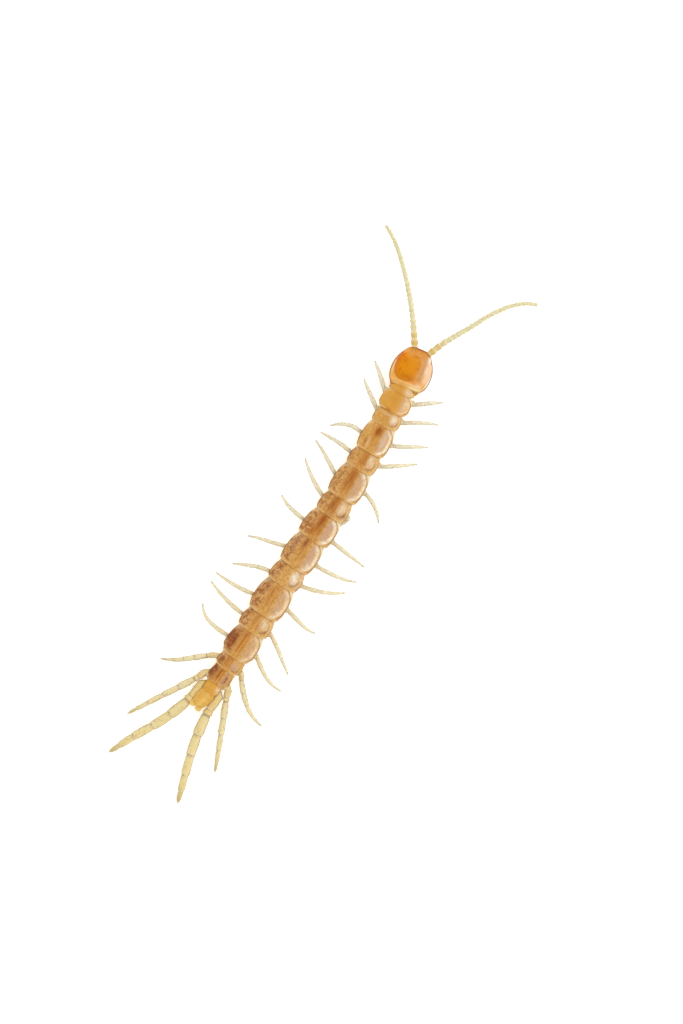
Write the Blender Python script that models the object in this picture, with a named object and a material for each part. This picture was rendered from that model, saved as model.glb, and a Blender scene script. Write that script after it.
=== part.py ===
"""A small stone centipede of the genus Lophobius, life-size, standing on its leg tips on a level floor.

The back faces +Z, the head points towards -Y and the animal's own left is +X. Every size below is in
millimetres, angles are in degrees, and each finished mesh is scaled to metres as its last step.
"""
import math

import bmesh
import bpy
from mathutils import Vector

MM = 0.001

# Gap between neighbouring pieces. The legs are only a tenth of a millimetre thick, so it is smaller still
PIECE_GAP = 0.02

# Heights: the belly over the floor, the body from belly to back, and the head from underside to crown
BELLY_HEIGHT = 0.15
BODY_DEPTH = 0.47
HEAD_UNDERSIDE = 0.34
HEAD_DEPTH = 0.29

# Where the trunk starts, and the head, which lies a little to the right of the trunk's own line
TRUNK_START = (-0.365, -4.04)
HEAD_BACK = (-0.39, -4.04)
HEAD_HEADING = -9.0
HEAD_LENGTH = 1.00
HEAD_HALF_WIDTH = 0.50

# The segment that carries the poison claws: length, width over its short back plate, and heading, which is
# how far a segment's axis turns from +Y towards the animal's left
CLAW_SEGMENT = (0.17, 0.70, -6.0)

# Leg-bearing segments from front to back: length, width over the back plate, and heading
TRUNK_SEGMENTS = (
    (0.48, 0.82, -3.5),
    (0.40, 0.74, -3.0),
    (0.72, 0.83, -2.0),
    (0.49, 0.80, 0.0),
    (0.81, 0.89, 1.0),
    (0.52, 0.84, 3.0),
    (0.71, 0.92, 4.0),
    (0.80, 0.92, 3.5),
    (0.52, 0.87, 2.5),
    (0.84, 0.94, 1.5),
    (0.50, 0.86, 1.5),
    (0.75, 0.88, 3.0),
    (0.36, 0.69, 5.5),
    (0.41, 0.61, 6.5),
    (0.26, 0.46, 4.0),
)
# The last segments are shallower, and their flanks draw in beside the stout hips of the last legs
TRUNK_DEPTHS = {13: 0.94, 14: 0.86, 15: 0.76}
TRUNK_FLANKS = {14: 0.94, 15: 0.76}

# The legless end of the body: length, width, heading, depth and the height of its middle
END_SEGMENT = (0.49, 0.38, 14.0)
END_DEPTH = 0.20
END_MIDDLE = 0.36

# A back plate overlaps the neck of the segment behind it
PLATE_OVERLAP = 0.06
PLATE_THICKNESS = 0.035
PLATE_STEP = 0.03
PLATE_CORNER = 0.05
NECK_INSET = 0.07
# Where the rings between a plate's step and its back edge lie, as shares of that run
PLATE_RINGS = (0.22, 0.50, 0.80)

# Half of a segment's cross-section, as shares of its half width and of its depth: the back plate from the
# midline to its side margin, then the flank down to the belly plate
PLATE_SECTION = ((0.0, 1.0), (0.38, 0.98), (0.70, 0.90), (0.90, 0.76), (1.0, 0.60))
FLANK_SECTION = ((0.90, 0.46), (0.90, 0.16), (0.72, 0.05), (0.40, 0.0))
FLANK_WALL = 0.90

# Half of the head's cross-section in the same way, from the crown round its side rim to the underside
HEAD_SECTION = (
    (0.0, 1.0), (0.24, 0.985), (0.46, 0.94), (0.66, 0.86), (0.82, 0.74), (0.94, 0.58),
    (1.0, 0.42), (0.97, 0.28), (0.86, 0.13), (0.64, 0.03), (0.34, 0.0),
)
# The head's plan from its back edge to its front edge: how far along, half width and depth, as shares
HEAD_PLAN = (
    (0.00, 0.68, 0.66),
    (0.03, 0.76, 0.78),
    (0.09, 0.86, 0.88),
    (0.18, 0.94, 0.95),
    (0.30, 0.99, 0.99),
    (0.42, 1.00, 1.00),
    (0.53, 0.98, 1.00),
    (0.63, 0.92, 0.98),
    (0.72, 0.84, 0.94),
    (0.80, 0.75, 0.88),
    (0.88, 0.65, 0.80),
    (0.94, 0.55, 0.70),
    (0.98, 0.44, 0.60),
    (1.00, 0.32, 0.48),
)

# The plate under the head that bears the poison claws: reach ahead of the trunk's start and half width
CLAW_PLATE = (
    (-0.10, 0.30), (0.00, 0.375), (0.12, 0.39), (0.21, 0.27), (0.34, 0.25), (0.47, 0.22), (0.54, 0.16),
)
CLAW_PLATE_HEIGHTS = (0.11, 0.31)
CLAW_TEETH = (0.045, 0.105)
CLAW_TOOTH = (0.045, 0.018)
# A poison claw's route: distance from the midline, reach ahead, and radius
CLAW_ROUTE = (
    (0.335, 0.245, 0.072), (0.368, 0.33, 0.098), (0.385, 0.45, 0.100), (0.362, 0.59, 0.080),
    (0.295, 0.70, 0.058), (0.185, 0.79, 0.038), (0.075, 0.84, 0.018), (0.02, 0.855, 0.005),
)
CLAW_HEIGHTS = (0.21, 0.18)

# The pad of mouthparts: reach ahead of the head's back edge and half width
MOUTH_PLAN = ((0.58, 0.12), (0.63, 0.20), (0.70, 0.235), (0.78, 0.22), (0.84, 0.14))
MOUTH_HEIGHTS = (0.265, 0.318)

# Each cluster of eyes: place as shares of the head's half width, length and depth, radius and bulge
EYE_PLACE = (0.745, 0.745, 0.655)
EYE_RADIUS = 0.045
EYE_BULGE = 0.028

# Antennae: swings at even steps from root to tip, in degrees forward of straight out, then length
ANTENNA_SWINGS = {"left": (58, 52, 47, 42, 26), "right": (72, 60, 64, 52, 20)}
ANTENNA_LENGTHS = {"left": 3.05, "right": 2.96}
ANTENNA_SOCKETS = {"left": 0.155, "right": -0.235}
ANTENNA_REACH = {"left": 0.99, "right": 0.955}
ANTENNA_ARTICLES = 25
ANTENNA_LONG_ARTICLES = 3
ANTENNA_RADII = (0.085, 0.068, 0.062, 0.054, 0.042)
ANTENNA_HEIGHTS = (0.46, 0.53, 0.55, 0.51, 0.42)
ANTENNA_WAIST = 0.74

# Legs from front to back: swings at the root, middle and tip, and length seen from above past the hip
LEG_POSES = {
    "left": (
        (44, 41, 39, 0.75), (35, 36, 40, 0.78), (15, -22, -46, 0.81),
        (12, 0, -2, 0.88), (33, 30, 24, 0.96), (25, 34, 46, 1.02),
        (8, 13, 36, 0.82), (-16, -13, -23, 0.96), (-6, -24, -28, 0.94),
        (-9, -1, 6, 1.07), (6, 14, 24, 1.12), (0, 12, 60, 1.04),
        (-39, -40, -22, 1.22), (-59, -58, -60, 2.00), (-76, -60, -65, 2.49),
    ),
    "right": (
        (37, 37, 36, 0.70), (35, 29, 22, 0.86), (24, 33, 26, 0.87),
        (30, 37, 37, 0.92), (-14, -36, -56, 0.80), (-112, -118, -126, 0.70),
        (-8, -7, -8, 0.96), (0, 7, 24, 1.06), (10, 22, 36, 1.08),
        (-14, -16, 8, 0.87), (-31, -39, -37, 1.07), (-40, -29, 2, 1.06),
        (-54, -42, -8, 1.36), (-67, -68, -69, 1.90), (-88, -75, -73, 2.46),
    ),
}
# Where each leg leaves its segment, as a share of the segment's length
LEG_PLACES = {
    "left": (0.15, 0.22, 0.54, 0.45, 0.48, 0.38, 0.60, 0.62, 0.77, 0.66, 0.51, 0.54, 0.60, 0.78, 0.62),
    "right": (0.15, 0.27, 0.43, 0.32, 0.51, 0.60, 0.67, 0.58, 0.53, 0.53, 0.65, 0.60, 0.64, 0.80, 0.66),
}
# Hips: how far they stand out from the flank, then reach back, at what swing, and their radius
LEG_HIP = (0.03, 0.0, 0.0, 0.050)
STOUT_HIPS = {
    ("left", 13): (0.05, 0.18, -32, 0.058),
    ("right", 13): (0.05, 0.07, -70, 0.058),
    ("left", 14): (0.07, 0.23, -67, 0.072),
    ("right", 14): (0.07, 0.21, -76, 0.072),
    ("left", 15): (0.085, 0.44, -83, 0.082),
    ("right", 15): (0.085, 0.455, -95, 0.082),
}
# A leg's articles past the hip: share of its length at the article's end, and radius
LEG_ARTICLES = ((0.05, 0.046), (0.27, 0.052), (0.48, 0.048), (0.69, 0.040), (0.86, 0.029), (0.97, 0.018))
LEG_GIRTHS = {13: 1.25, 14: 1.50, 15: 2.30}
LEG_ROOT_HEIGHT = 0.296
LEG_ROOT_RADIUS = 0.050
LEG_WAIST = 0.76
LEG_RISE = 0.15
HIND_LEG_RISE = 0.04
LEG_CLAW_RADIUS = 0.009
LEG_CLAW_TIP = 0.005
# Share of the leg's length where its claw comes down on the floor
LEG_FOOT = 0.985
LEG_SIDES = 6
HIND_LEG_SIDES = 8
ANTENNA_SIDES = 8
# One right leg is drawn in under the belly, where it drops steeply from its root
TUCKED_LEG = ("right", 6)
TUCKED_FALL = 3.5
TUCKED_RISE = 0.02


class Place:
    """A piece's own axes in plan: side to the animal's left and along towards its tail."""

    def __init__(self, origin, heading):
        turn = math.radians(heading)
        self.origin = Vector((origin[0], origin[1], 0.0))
        self.side = Vector((math.cos(turn), -math.sin(turn), 0.0))
        self.along = Vector((math.sin(turn), math.cos(turn), 0.0))

    def at(self, side, along, up):
        """Return the point at these distances along the piece's own axes."""
        return self.origin + self.side * side + self.along * along + Vector((0.0, 0.0, up))


def clear_scene():
    """Remove every object that the scene opens with."""
    for item in list(bpy.data.objects):
        bpy.data.objects.remove(item, do_unlink=True)


def finish(name, red, green, blue, roughness):
    """Return a Principled material of one colour."""
    material = bpy.data.materials.new(name)
    material.use_nodes = True
    shader = material.node_tree.nodes["Principled BSDF"]
    shader.inputs["Base Color"].default_value = (red, green, blue, 1.0)
    shader.inputs["Roughness"].default_value = roughness
    shader.inputs["Metallic"].default_value = 0.0
    material.diffuse_color = (red, green, blue, 1.0)
    return material


def read_between(values, share):
    """Read a value at a share of the way through evenly spaced values."""
    place = min(max(share, 0.0), 1.0) * (len(values) - 1)
    first = min(int(place), len(values) - 2)
    part = place - first
    return values[first] + (values[first + 1] - values[first]) * part


def loft(rings):
    """Return a closed bmesh over rings with equally many points, capped at both ends."""
    body = bmesh.new()
    rows = [[body.verts.new(point) for point in ring] for ring in rings]
    count = len(rows[0])
    for near, far in zip(rows, rows[1:]):
        for index in range(count):
            after = (index + 1) % count
            body.faces.new((near[index], near[after], far[after], far[index]))
    body.faces.new(rows[0])
    body.faces.new(rows[-1])
    bmesh.ops.remove_doubles(body, verts=body.verts, dist=0.0005)
    bmesh.ops.recalc_face_normals(body, faces=body.faces)
    return body


def tube_rings(points, radii, sides):
    """Return rings of a round tube through the points, none of them below the floor."""
    rings = []
    for index, (point, radius) in enumerate(zip(points, radii)):
        before = points[max(index - 1, 0)]
        after = points[min(index + 1, len(points) - 1)]
        run = (after - before).normalized()
        across = run.cross(Vector((0.0, 0.0, 1.0))).normalized()
        up = across.cross(run)
        ring = []
        for step in range(sides):
            turn = math.tau * (step + 0.5) / sides
            spot = point + across * (radius * math.cos(turn)) + up * (radius * math.sin(turn))
            spot.z = max(spot.z, 0.0)
            ring.append(spot)
        rings.append(ring)
    return rings


def keep_largest(body):
    """Delete every connected surface of a bmesh but the largest."""
    unseen = set(body.faces)
    groups = []
    while unseen:
        seed = unseen.pop()
        group = {seed}
        front = [seed]
        while front:
            face = front.pop()
            near = {other for edge in face.edges for other in edge.link_faces if other in unseen}
            unseen -= near
            group |= near
            front += near
        groups.append(group)
    biggest = max(groups, key=lambda faces: sum(face.calc_area() for face in faces))
    loose = [face for face in body.faces if face not in biggest]
    bmesh.ops.delete(body, geom=loose, context="FACES")


def fuse(bodies):
    """Join closed bmeshes into one by a Boolean union and keep its largest closed surface."""
    helpers = bpy.data.collections.new("union_pieces")
    items = []
    for body in bodies:
        mesh = bpy.data.meshes.new("union_piece")
        body.to_mesh(mesh)
        body.free()
        items.append(bpy.data.objects.new("union_piece", mesh))
    first = items[0]
    bpy.context.collection.objects.link(first)
    for other in items[1:]:
        helpers.objects.link(other)
    union = first.modifiers.new("union", "BOOLEAN")
    union.operation = "UNION"
    union.solver = "EXACT"
    union.operand_type = "COLLECTION"
    union.collection = helpers
    joined = bmesh.new()
    joined.from_mesh(first.evaluated_get(bpy.context.evaluated_depsgraph_get()).to_mesh())
    for item in items:
        bpy.data.objects.remove(item, do_unlink=True)
    bpy.data.collections.remove(helpers)
    keep_largest(joined)
    return joined


def add_object(name, body, material, parent, smooth_angle=50.0):
    """Turn a bmesh in millimetres into a named object in metres."""
    mesh = bpy.data.meshes.new(name)
    bmesh.ops.triangulate(body, faces=body.faces)
    bmesh.ops.scale(body, vec=(MM, MM, MM), verts=body.verts)
    body.to_mesh(mesh)
    body.free()
    mesh.shade_smooth()
    mesh.set_sharp_from_angle(angle=math.radians(smooth_angle))
    mesh.materials.append(material)
    item = bpy.data.objects.new(name, mesh)
    bpy.context.collection.objects.link(item)
    item.parent = parent


def mirrored(half):
    """Return the half section's points on the other side of the midline, in reverse order."""
    return [(-point[0], *point[1:]) for point in reversed(half) if point[0] > 0.0]


def segment_ring(place, half, depth, plate, flank):
    """Return one ring of a trunk segment.

    plate holds the back plate's scale, how far it is sunk, how far along it lies and how much its corners
    are drawn forward; flank holds the flank's scale and how far along it lies.
    """
    scale, sink, along, corner = plate
    flank_scale, flank_along = flank
    left = [(side * half * scale, along - corner * side**4, up * depth - sink) for side, up in PLATE_SECTION]
    left += [(side * half * flank_scale, flank_along, up * depth) for side, up in FLANK_SECTION]
    outline = left + [(0.0, flank_along, 0.0)] + mirrored(left)
    return [place.at(side, along, BELLY_HEIGHT + up) for side, along, up in outline]


def segment_body(place, length, half, depth, flank):
    """Return a trunk segment: a neck under the plate in front, the plate's belly, and its free back edge."""
    sink = PLATE_THICKNESS + PIECE_GAP
    neck = (half - NECK_INSET) / half
    front = PIECE_GAP / 2
    lip = front + PIECE_GAP
    back = length - PIECE_GAP / 2
    edge = length + PLATE_OVERLAP
    step = PLATE_OVERLAP + PLATE_STEP
    rise = step + PIECE_GAP
    early, middle, late = (step + (length - step) * share for share in PLATE_RINGS)
    rings = [
        segment_ring(place, half, depth, (neck * 0.92, sink * 1.3, front, 0.0), (0.90 * flank, front)),
        segment_ring(place, half, depth, (neck, sink, lip, 0.0), (0.94 * flank, lip)),
        segment_ring(place, half, depth, (neck, sink, step, 0.0), (0.97 * flank, step)),
        segment_ring(place, half, depth, (0.90, 0.0, rise, 0.0), (0.98 * flank, rise)),
        segment_ring(place, half, depth, (0.96, 0.0, early, 0.0), (flank, early)),
        segment_ring(place, half, depth, (1.0, 0.0, middle, 0.0), (flank, middle)),
        segment_ring(place, half, depth, (0.98, 0.0, late, 0.0), (0.98 * flank, late)),
        segment_ring(place, half, depth, (0.90, 0.0, edge, PLATE_CORNER), (0.93 * flank, back)),
        segment_ring(place, half, depth, (0.87, PLATE_THICKNESS, edge, PLATE_CORNER), (0.93 * flank, back)),
        segment_ring(place, half, depth, (0.87, PLATE_THICKNESS, back, 0.0), (0.93 * flank, back)),
    ]
    return loft(rings)


def head_body(place):
    """Return the head capsule: a low shield, widest at its middle and blunt in front."""
    rings = []
    for ahead, width, depth in HEAD_PLAN:
        left = [(side * HEAD_HALF_WIDTH * width, up * HEAD_DEPTH * depth) for side, up in HEAD_SECTION]
        outline = left + [(0.0, 0.0)] + mirrored(left)
        rings.append([place.at(side, -ahead * HEAD_LENGTH, HEAD_UNDERSIDE + up) for side, up in outline])
    return loft(rings)


def slab_ring(place, half, ahead, low, high):
    """Return one ring of a flat plate with rounded sides, which runs ahead under the head."""
    left = ((0.88, 0.0), (1.0, 0.25), (1.0, 0.75), (0.88, 1.0))
    corners = [*left, *((-side, up) for side, up in reversed(left))]
    return [place.at(side * half, -ahead, low + (high - low) * up) for side, up in corners]


def claw_segment_body(place, length, half):
    """Return the segment behind the head: its short back plate and the toothed plate under the head."""
    band = []
    for along, width, sink in ((0.06, 0.90, 0.05), (0.30, 0.97, 0.01), (0.75, 1.0, 0.0), (0.94, 0.94, 0.03)):
        run = along * length
        band.append(segment_ring(place, half, BODY_DEPTH, (width, sink, run, 0.0), (width, run)))
    low, high = CLAW_PLATE_HEIGHTS
    plate = [slab_ring(place, half_width, ahead, low, high) for ahead, half_width in CLAW_PLATE]
    pieces = [loft(band), loft(plate)]
    front = CLAW_PLATE[-1][0]
    middle = (low + high) / 2
    tooth_length, tooth_radius = CLAW_TOOTH
    for hand in (1, -1):
        for side in CLAW_TEETH:
            root = place.at(hand * side, -front + tooth_length, middle)
            tip = place.at(hand * side, -front - tooth_length, middle)
            pieces.append(loft(tube_rings([root, tip], [tooth_radius, tooth_radius * 0.3], LEG_SIDES)))
    return fuse(pieces)


def poison_claw_body(place, side):
    """Return a poison claw, stout at its root and curved in to a point under the mouth."""
    hand = 1 if side == "left" else -1
    points = []
    for index, (out, ahead, radius) in enumerate(CLAW_ROUTE):
        height = read_between(CLAW_HEIGHTS, index / (len(CLAW_ROUTE) - 1))
        points.append(place.at(hand * out, -ahead, height))
    return loft(tube_rings(points, [radius for out, ahead, radius in CLAW_ROUTE], HIND_LEG_SIDES))


def mouthpart_body(head):
    """Return the pad of mouthparts under the front of the head."""
    low, high = MOUTH_HEIGHTS
    return loft([slab_ring(head, half, ahead, low, high) for ahead, half in MOUTH_PLAN])


def eye_body(head, side):
    """Return one small cluster of eyes, a low dome on the side of the head."""
    hand = 1 if side == "left" else -1
    out, ahead, up = EYE_PLACE
    seat = head.at(hand * HEAD_HALF_WIDTH * out, -ahead * HEAD_LENGTH, HEAD_UNDERSIDE + HEAD_DEPTH * up)
    normal = (head.side * hand * 0.75 + Vector((0.0, 0.0, 0.85)) - head.along * 0.35).normalized()
    points = [seat, seat + normal * EYE_BULGE * 0.6, seat + normal * EYE_BULGE]
    return loft(tube_rings(points, (EYE_RADIUS, EYE_RADIUS * 0.85, EYE_RADIUS * 0.4), HIND_LEG_SIDES))


def path_along(start, swings, height, length, shares, hand):
    """Return points at shares of a leg's or antenna's length, from its swings and its height at each."""
    points = [Vector(start)]
    fine_step = 0.005
    spot = Vector(start)
    done = 0.0
    for share in shares:
        while done < share - 1e-6:
            stride = min(fine_step, share - done)
            swing = math.radians(read_between(swings, done + stride / 2))
            spot += Vector((hand * math.cos(swing), -math.sin(swing), 0.0)) * (stride * length)
            done += stride
        points.append(Vector((spot.x, spot.y, height(share))))
    return points


def antenna_body(head, side):
    """Return an antenna, a string of articles that are narrow where they meet."""
    hand = 1 if side == "left" else -1
    lengths = [1.05 - 0.4 * index / ANTENNA_ARTICLES for index in range(ANTENNA_ARTICLES)]
    lengths[:ANTENNA_LONG_ARTICLES] = [1.35] * ANTENNA_LONG_ARTICLES
    lengths[-1] = 0.95
    total = sum(lengths)
    shares = []
    radii = [ANTENNA_RADII[0] * ANTENNA_WAIST]
    reached = 0.0
    for length in lengths:
        middle = (reached + length * 0.62) / total
        reached += length
        full = read_between(ANTENNA_RADII, middle)
        shares += [middle, reached / total]
        radii += [full, full * ANTENNA_WAIST]
    radii[-1] = ANTENNA_RADII[-1] * 0.45
    ahead = ANTENNA_REACH[side] * HEAD_LENGTH + PIECE_GAP
    start = head.at(ANTENNA_SOCKETS[side], -ahead, ANTENNA_HEIGHTS[0])

    def height(share):
        """Return how high the antenna's axis lies at a share of its length."""
        return read_between(ANTENNA_HEIGHTS, share)

    points = path_along(start, ANTENNA_SWINGS[side], height, ANTENNA_LENGTHS[side], shares, hand)
    return loft(tube_rings(points, radii, ANTENNA_SIDES))


def leg_body(place, half, depth, number, side):
    """Return a walking leg from its coxa on the flank to its claw on the floor."""
    hand = 1 if side == "left" else -1
    *swings, length = LEG_POSES[side][number - 1]
    along = TRUNK_SEGMENTS[number - 1][0] * LEG_PLACES[side][number - 1]
    wall = half * FLANK_WALL * TRUNK_FLANKS.get(number, 1.0) + PIECE_GAP
    out, back, back_swing, hip_radius = STOUT_HIPS.get((side, number), LEG_HIP)
    girth = LEG_GIRTHS.get(number, 1.0)
    root_height = BELLY_HEIGHT + (LEG_ROOT_HEIGHT - BELLY_HEIGHT) * depth
    tucked = (side, number) == TUCKED_LEG
    rise = HIND_LEG_RISE if number > 13 else LEG_RISE
    shares = []
    radii = []
    reached = 0.0
    for index, (end, radius) in enumerate(LEG_ARTICLES):
        full = hip_radius * 0.95 if index == 0 else radius * girth
        following = LEG_ARTICLES[min(index + 1, len(LEG_ARTICLES) - 1)][1] * girth
        shares += [reached + (end - reached) * 0.58, end]
        radii += [full, min(full, following) * LEG_WAIST]
        reached = end
    shares += [LEG_FOOT, 1.0]
    radii += [LEG_CLAW_RADIUS, LEG_CLAW_TIP]
    clearances = dict(zip(shares, radii))

    def height(share):
        """Return how high the leg's axis lies at a share of its length."""
        if share >= LEG_FOOT:
            return clearances[share] * 0.45
        fall = TUCKED_FALL if tucked else 1.0
        lift = TUCKED_RISE if tucked else rise
        arch = root_height * (1.0 - share) ** fall + lift * 4.0 * share * (1.0 - share)
        return max(arch, clearances[share] * 1.05)

    root = place.at(hand * wall, along, root_height)
    points = [root, place.at(hand * (wall + out), along, root_height)]
    root_radii = [min(LEG_ROOT_RADIUS, hip_radius), hip_radius]
    if back > 0.0:
        turn = math.radians(back_swing)
        run = Vector((hand * math.cos(turn), -math.sin(turn), 0.0)) * back
        points += [points[-1] + run * 0.35, points[-1] + run]
        root_radii += [hip_radius * 1.1, hip_radius]
    points += path_along(points[-1], swings, height, length, shares, hand)[1:]
    sides = HIND_LEG_SIDES if number > 12 else LEG_SIDES
    return loft(tube_rings(points, root_radii + radii, sides))


def end_ring(place, half, along, width, count=12):
    """Return one oval ring of the end segment."""
    ring = []
    for step in range(count):
        turn = math.tau * step / count
        up = END_MIDDLE + END_DEPTH * 0.5 * width * math.sin(turn)
        ring.append(place.at(half * width * math.cos(turn), along, up))
    return ring


def end_body(place, length, half):
    """Return the last, legless segment, which narrows to two small lobes."""
    plan = ((0.05, 0.88), (0.22, 1.0), (0.55, 0.98), (0.78, 0.84), (0.90, 0.62))
    pieces = [loft([end_ring(place, half, length * along, width) for along, width in plan])]
    for hand in (1, -1):
        axis = [
            place.at(hand * half * 0.40, length * 0.60, END_MIDDLE),
            place.at(hand * half * 0.46, length * 0.94, END_MIDDLE - 0.01),
            place.at(hand * half * 0.42, length * 1.12, END_MIDDLE - 0.02),
        ]
        pieces.append(loft(tube_rings(axis, (half * 0.30, half * 0.40, half * 0.18), HIND_LEG_SIDES)))
    return fuse(pieces)


def build():
    """Build every sub-part and place it."""
    clear_scene()
    animal = bpy.data.objects.new("centipede", None)
    bpy.context.collection.objects.link(animal)

    amber = finish("amber_head", 0.75, 0.28, 0.01, 0.35)
    brown = finish("brown_plates", 0.55, 0.23, 0.06, 0.35)
    straw = finish("straw_legs", 0.83, 0.70, 0.42, 0.40)
    feeler = finish("straw_antennae", 0.72, 0.50, 0.16, 0.40)
    claw = finish("amber_claws", 0.60, 0.20, 0.02, 0.30)
    dark = finish("dark_eyes", 0.02, 0.01, 0.01, 0.20)

    head = Place(HEAD_BACK, HEAD_HEADING)
    length, width, heading = CLAW_SEGMENT
    place = Place(TRUNK_START, heading)
    add_object("head", head_body(head), amber, animal)
    add_object("mouthparts", mouthpart_body(head), amber, animal)
    add_object("claw_segment", claw_segment_body(place, length, width / 2), amber, animal)
    for side in ("left", "right"):
        add_object(f"eyes_{side}", eye_body(head, side), dark, animal)
        add_object(f"antenna_{side}", antenna_body(head, side), feeler, animal)
        add_object(f"poison_claw_{side}", poison_claw_body(place, side), claw, animal)

    joint = place.at(0.0, length, 0.0)
    for index, (length, width, heading) in enumerate(TRUNK_SEGMENTS):
        number = index + 1
        place = Place(joint, heading)
        share = TRUNK_DEPTHS.get(number, 1.0)
        flank = TRUNK_FLANKS.get(number, 1.0)
        body = segment_body(place, length, width / 2, BODY_DEPTH * share, flank)
        add_object(f"trunk_segment_{number:02d}", body, brown, animal)
        for side in ("left", "right"):
            body = leg_body(place, width / 2, share, number, side)
            add_object(f"leg_{side}_{number:02d}", body, straw, animal)
        joint = place.at(0.0, length, 0.0)

    length, width, heading = END_SEGMENT
    add_object("end_segment", end_body(Place(joint, heading), length, width / 2), amber, animal)


build()
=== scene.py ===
"""A small stone centipede of the genus Lophobius, a life-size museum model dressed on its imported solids.

Sizes are in millimetres and angles in degrees until a mesh is made, which is in metres. The back faces
+Z, the head points towards -Y and the animal's own left is +X.
"""
import logging
import math
from dataclasses import dataclass, field
from enum import Enum

import bmesh
import bpy
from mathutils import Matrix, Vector


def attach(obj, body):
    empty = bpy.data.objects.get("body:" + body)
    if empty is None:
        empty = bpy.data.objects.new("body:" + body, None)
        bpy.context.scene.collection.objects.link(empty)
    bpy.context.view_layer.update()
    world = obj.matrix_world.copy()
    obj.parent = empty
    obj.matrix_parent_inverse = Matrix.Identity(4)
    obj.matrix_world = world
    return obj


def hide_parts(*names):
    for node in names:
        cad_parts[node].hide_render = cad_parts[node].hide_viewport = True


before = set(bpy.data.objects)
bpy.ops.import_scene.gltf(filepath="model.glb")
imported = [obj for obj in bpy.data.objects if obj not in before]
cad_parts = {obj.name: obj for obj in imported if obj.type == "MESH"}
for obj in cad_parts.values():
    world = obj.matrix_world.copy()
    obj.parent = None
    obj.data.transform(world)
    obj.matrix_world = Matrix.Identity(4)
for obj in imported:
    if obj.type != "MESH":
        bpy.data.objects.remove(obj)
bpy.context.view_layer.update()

Tree = bpy.types.NodeTree
Socket = bpy.types.NodeSocket
Item = bpy.types.Object
Rows = tuple[tuple[float, ...], ...]
Fields = dict[str, float]
Ring = list[tuple[Vector, Fields]]
Station = tuple[float, float, Fields]

LOG = logging.getLogger("centipede")
MM = 0.001
UP = Vector((0.0, 0.0, 1.0))
HANDS = {"left": 1, "right": -1}

# The solids' own measures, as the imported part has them. A segment's are its length, width and heading
BELLY_HEIGHT = 0.15
BODY_DEPTH = 0.47
HEAD_UNDERSIDE = 0.34
HEAD_DEPTH = 0.29
TRUNK_START = (-0.365, -4.04)
HEAD_BACK = (-0.39, -4.04)
HEAD_HEADING = -9.0
HEAD_HALF_WIDTH = 0.51
CLAW_SEGMENT = (0.17, 0.70, -6.0)
CLAW_SEGMENT_DEPTH = 0.99
TRUNK_SEGMENTS = (
    (0.48, 0.82, -3.5), (0.40, 0.74, -3.0), (0.72, 0.83, -2.0), (0.49, 0.80, 0.0), (0.81, 0.89, 1.0),
    (0.52, 0.84, 3.0), (0.71, 0.92, 4.0), (0.80, 0.92, 3.5), (0.52, 0.87, 2.5), (0.84, 0.94, 1.5),
    (0.50, 0.86, 1.5), (0.75, 0.88, 3.0), (0.36, 0.69, 5.5), (0.41, 0.61, 6.5), (0.26, 0.46, 4.0),
)
TRUNK_DEPTHS = {13: 0.94, 14: 0.86, 15: 0.76}
TRUNK_FLANKS = {14: 0.94, 15: 0.76}
END_SEGMENT = (0.49, 0.38, 14.0)
END_DEPTH = 0.20
END_MIDDLE = 0.36

# What the scene adds to them: the animal lies slightly rolled, so its right flank shows narrower
HEAD_STRETCH = 1.02
END_WIDENING = 1.08
RIGHT_LEAN = 0.905
REAR_RIGHT_LEAN = 0.97
PLATE_OVERLAP = 0.018
PLATE_CORNER = 0.05
LAST_PLATE_FALL = 0.57
NECK_SINK = 0.018
STOUT_FROM = 13
STREAK_STEP = 3.1
STREAK_STRETCH = (5.0, 1.1, 1.0)
SPIRACLE_WALL, SPIRACLE_PLACE, SPIRACLE_HEIGHT = 0.893, 0.36, 0.205
SPIRACLE_SIZE = (0.021, 0.032, 0.014)
LOBE_SQUASH = 0.62
LOBE_GIRTH = 0.40

# How finely each surface is divided, along it and across it
HEAD_ROWS, HEAD_SIDES = 84, 104
PLATE_ROWS, PLATE_COLUMNS = 44, 60
BELLY_ROWS, BELLY_COLUMNS = 16, 20
SKIN_STEP, SKIN_SIDES = 0.022, 56
CLAW_PLATE_ROWS, CLAW_PLATE_SIDES = 40, 48
CLAW_STEPS, CLAW_ROWS, CLAW_SIDES = 80, 72, 24
END_ROWS, END_SIDES = 32, 32
ANTENNA_STEPS, LEG_STEPS, LEG_SIDES, LEAN_MARKS = 200, 90, 16, 60

# Head: share of its length from the back edge, half width and depth; half section from crown to underside
HEAD_PLAN = (
    (0.00, 0.66, 0.80), (0.03, 0.75, 0.87), (0.09, 0.86, 0.93), (0.18, 0.94, 0.97), (0.30, 0.99, 0.99),
    (0.42, 1.00, 1.00), (0.53, 0.98, 1.00), (0.63, 0.92, 0.98), (0.72, 0.84, 0.94), (0.80, 0.75, 0.88),
    (0.88, 0.65, 0.80), (0.94, 0.55, 0.70), (0.98, 0.44, 0.60), (1.00, 0.32, 0.48),
)
HEAD_SECTION = (
    (0.0, 0.0, 1.0), (1.0, 0.24, 0.985), (2.0, 0.46, 0.94), (3.0, 0.66, 0.86), (4.0, 0.82, 0.74),
    (5.0, 0.94, 0.58), (6.0, 1.0, 0.42), (7.0, 0.97, 0.28), (8.0, 0.86, 0.13), (9.0, 0.64, 0.03),
    (10.0, 0.34, 0.0), (11.0, 0.0, 0.0),
)
HEAD_EDGE, HEAD_KEEL = 6.0, 11.0
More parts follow.
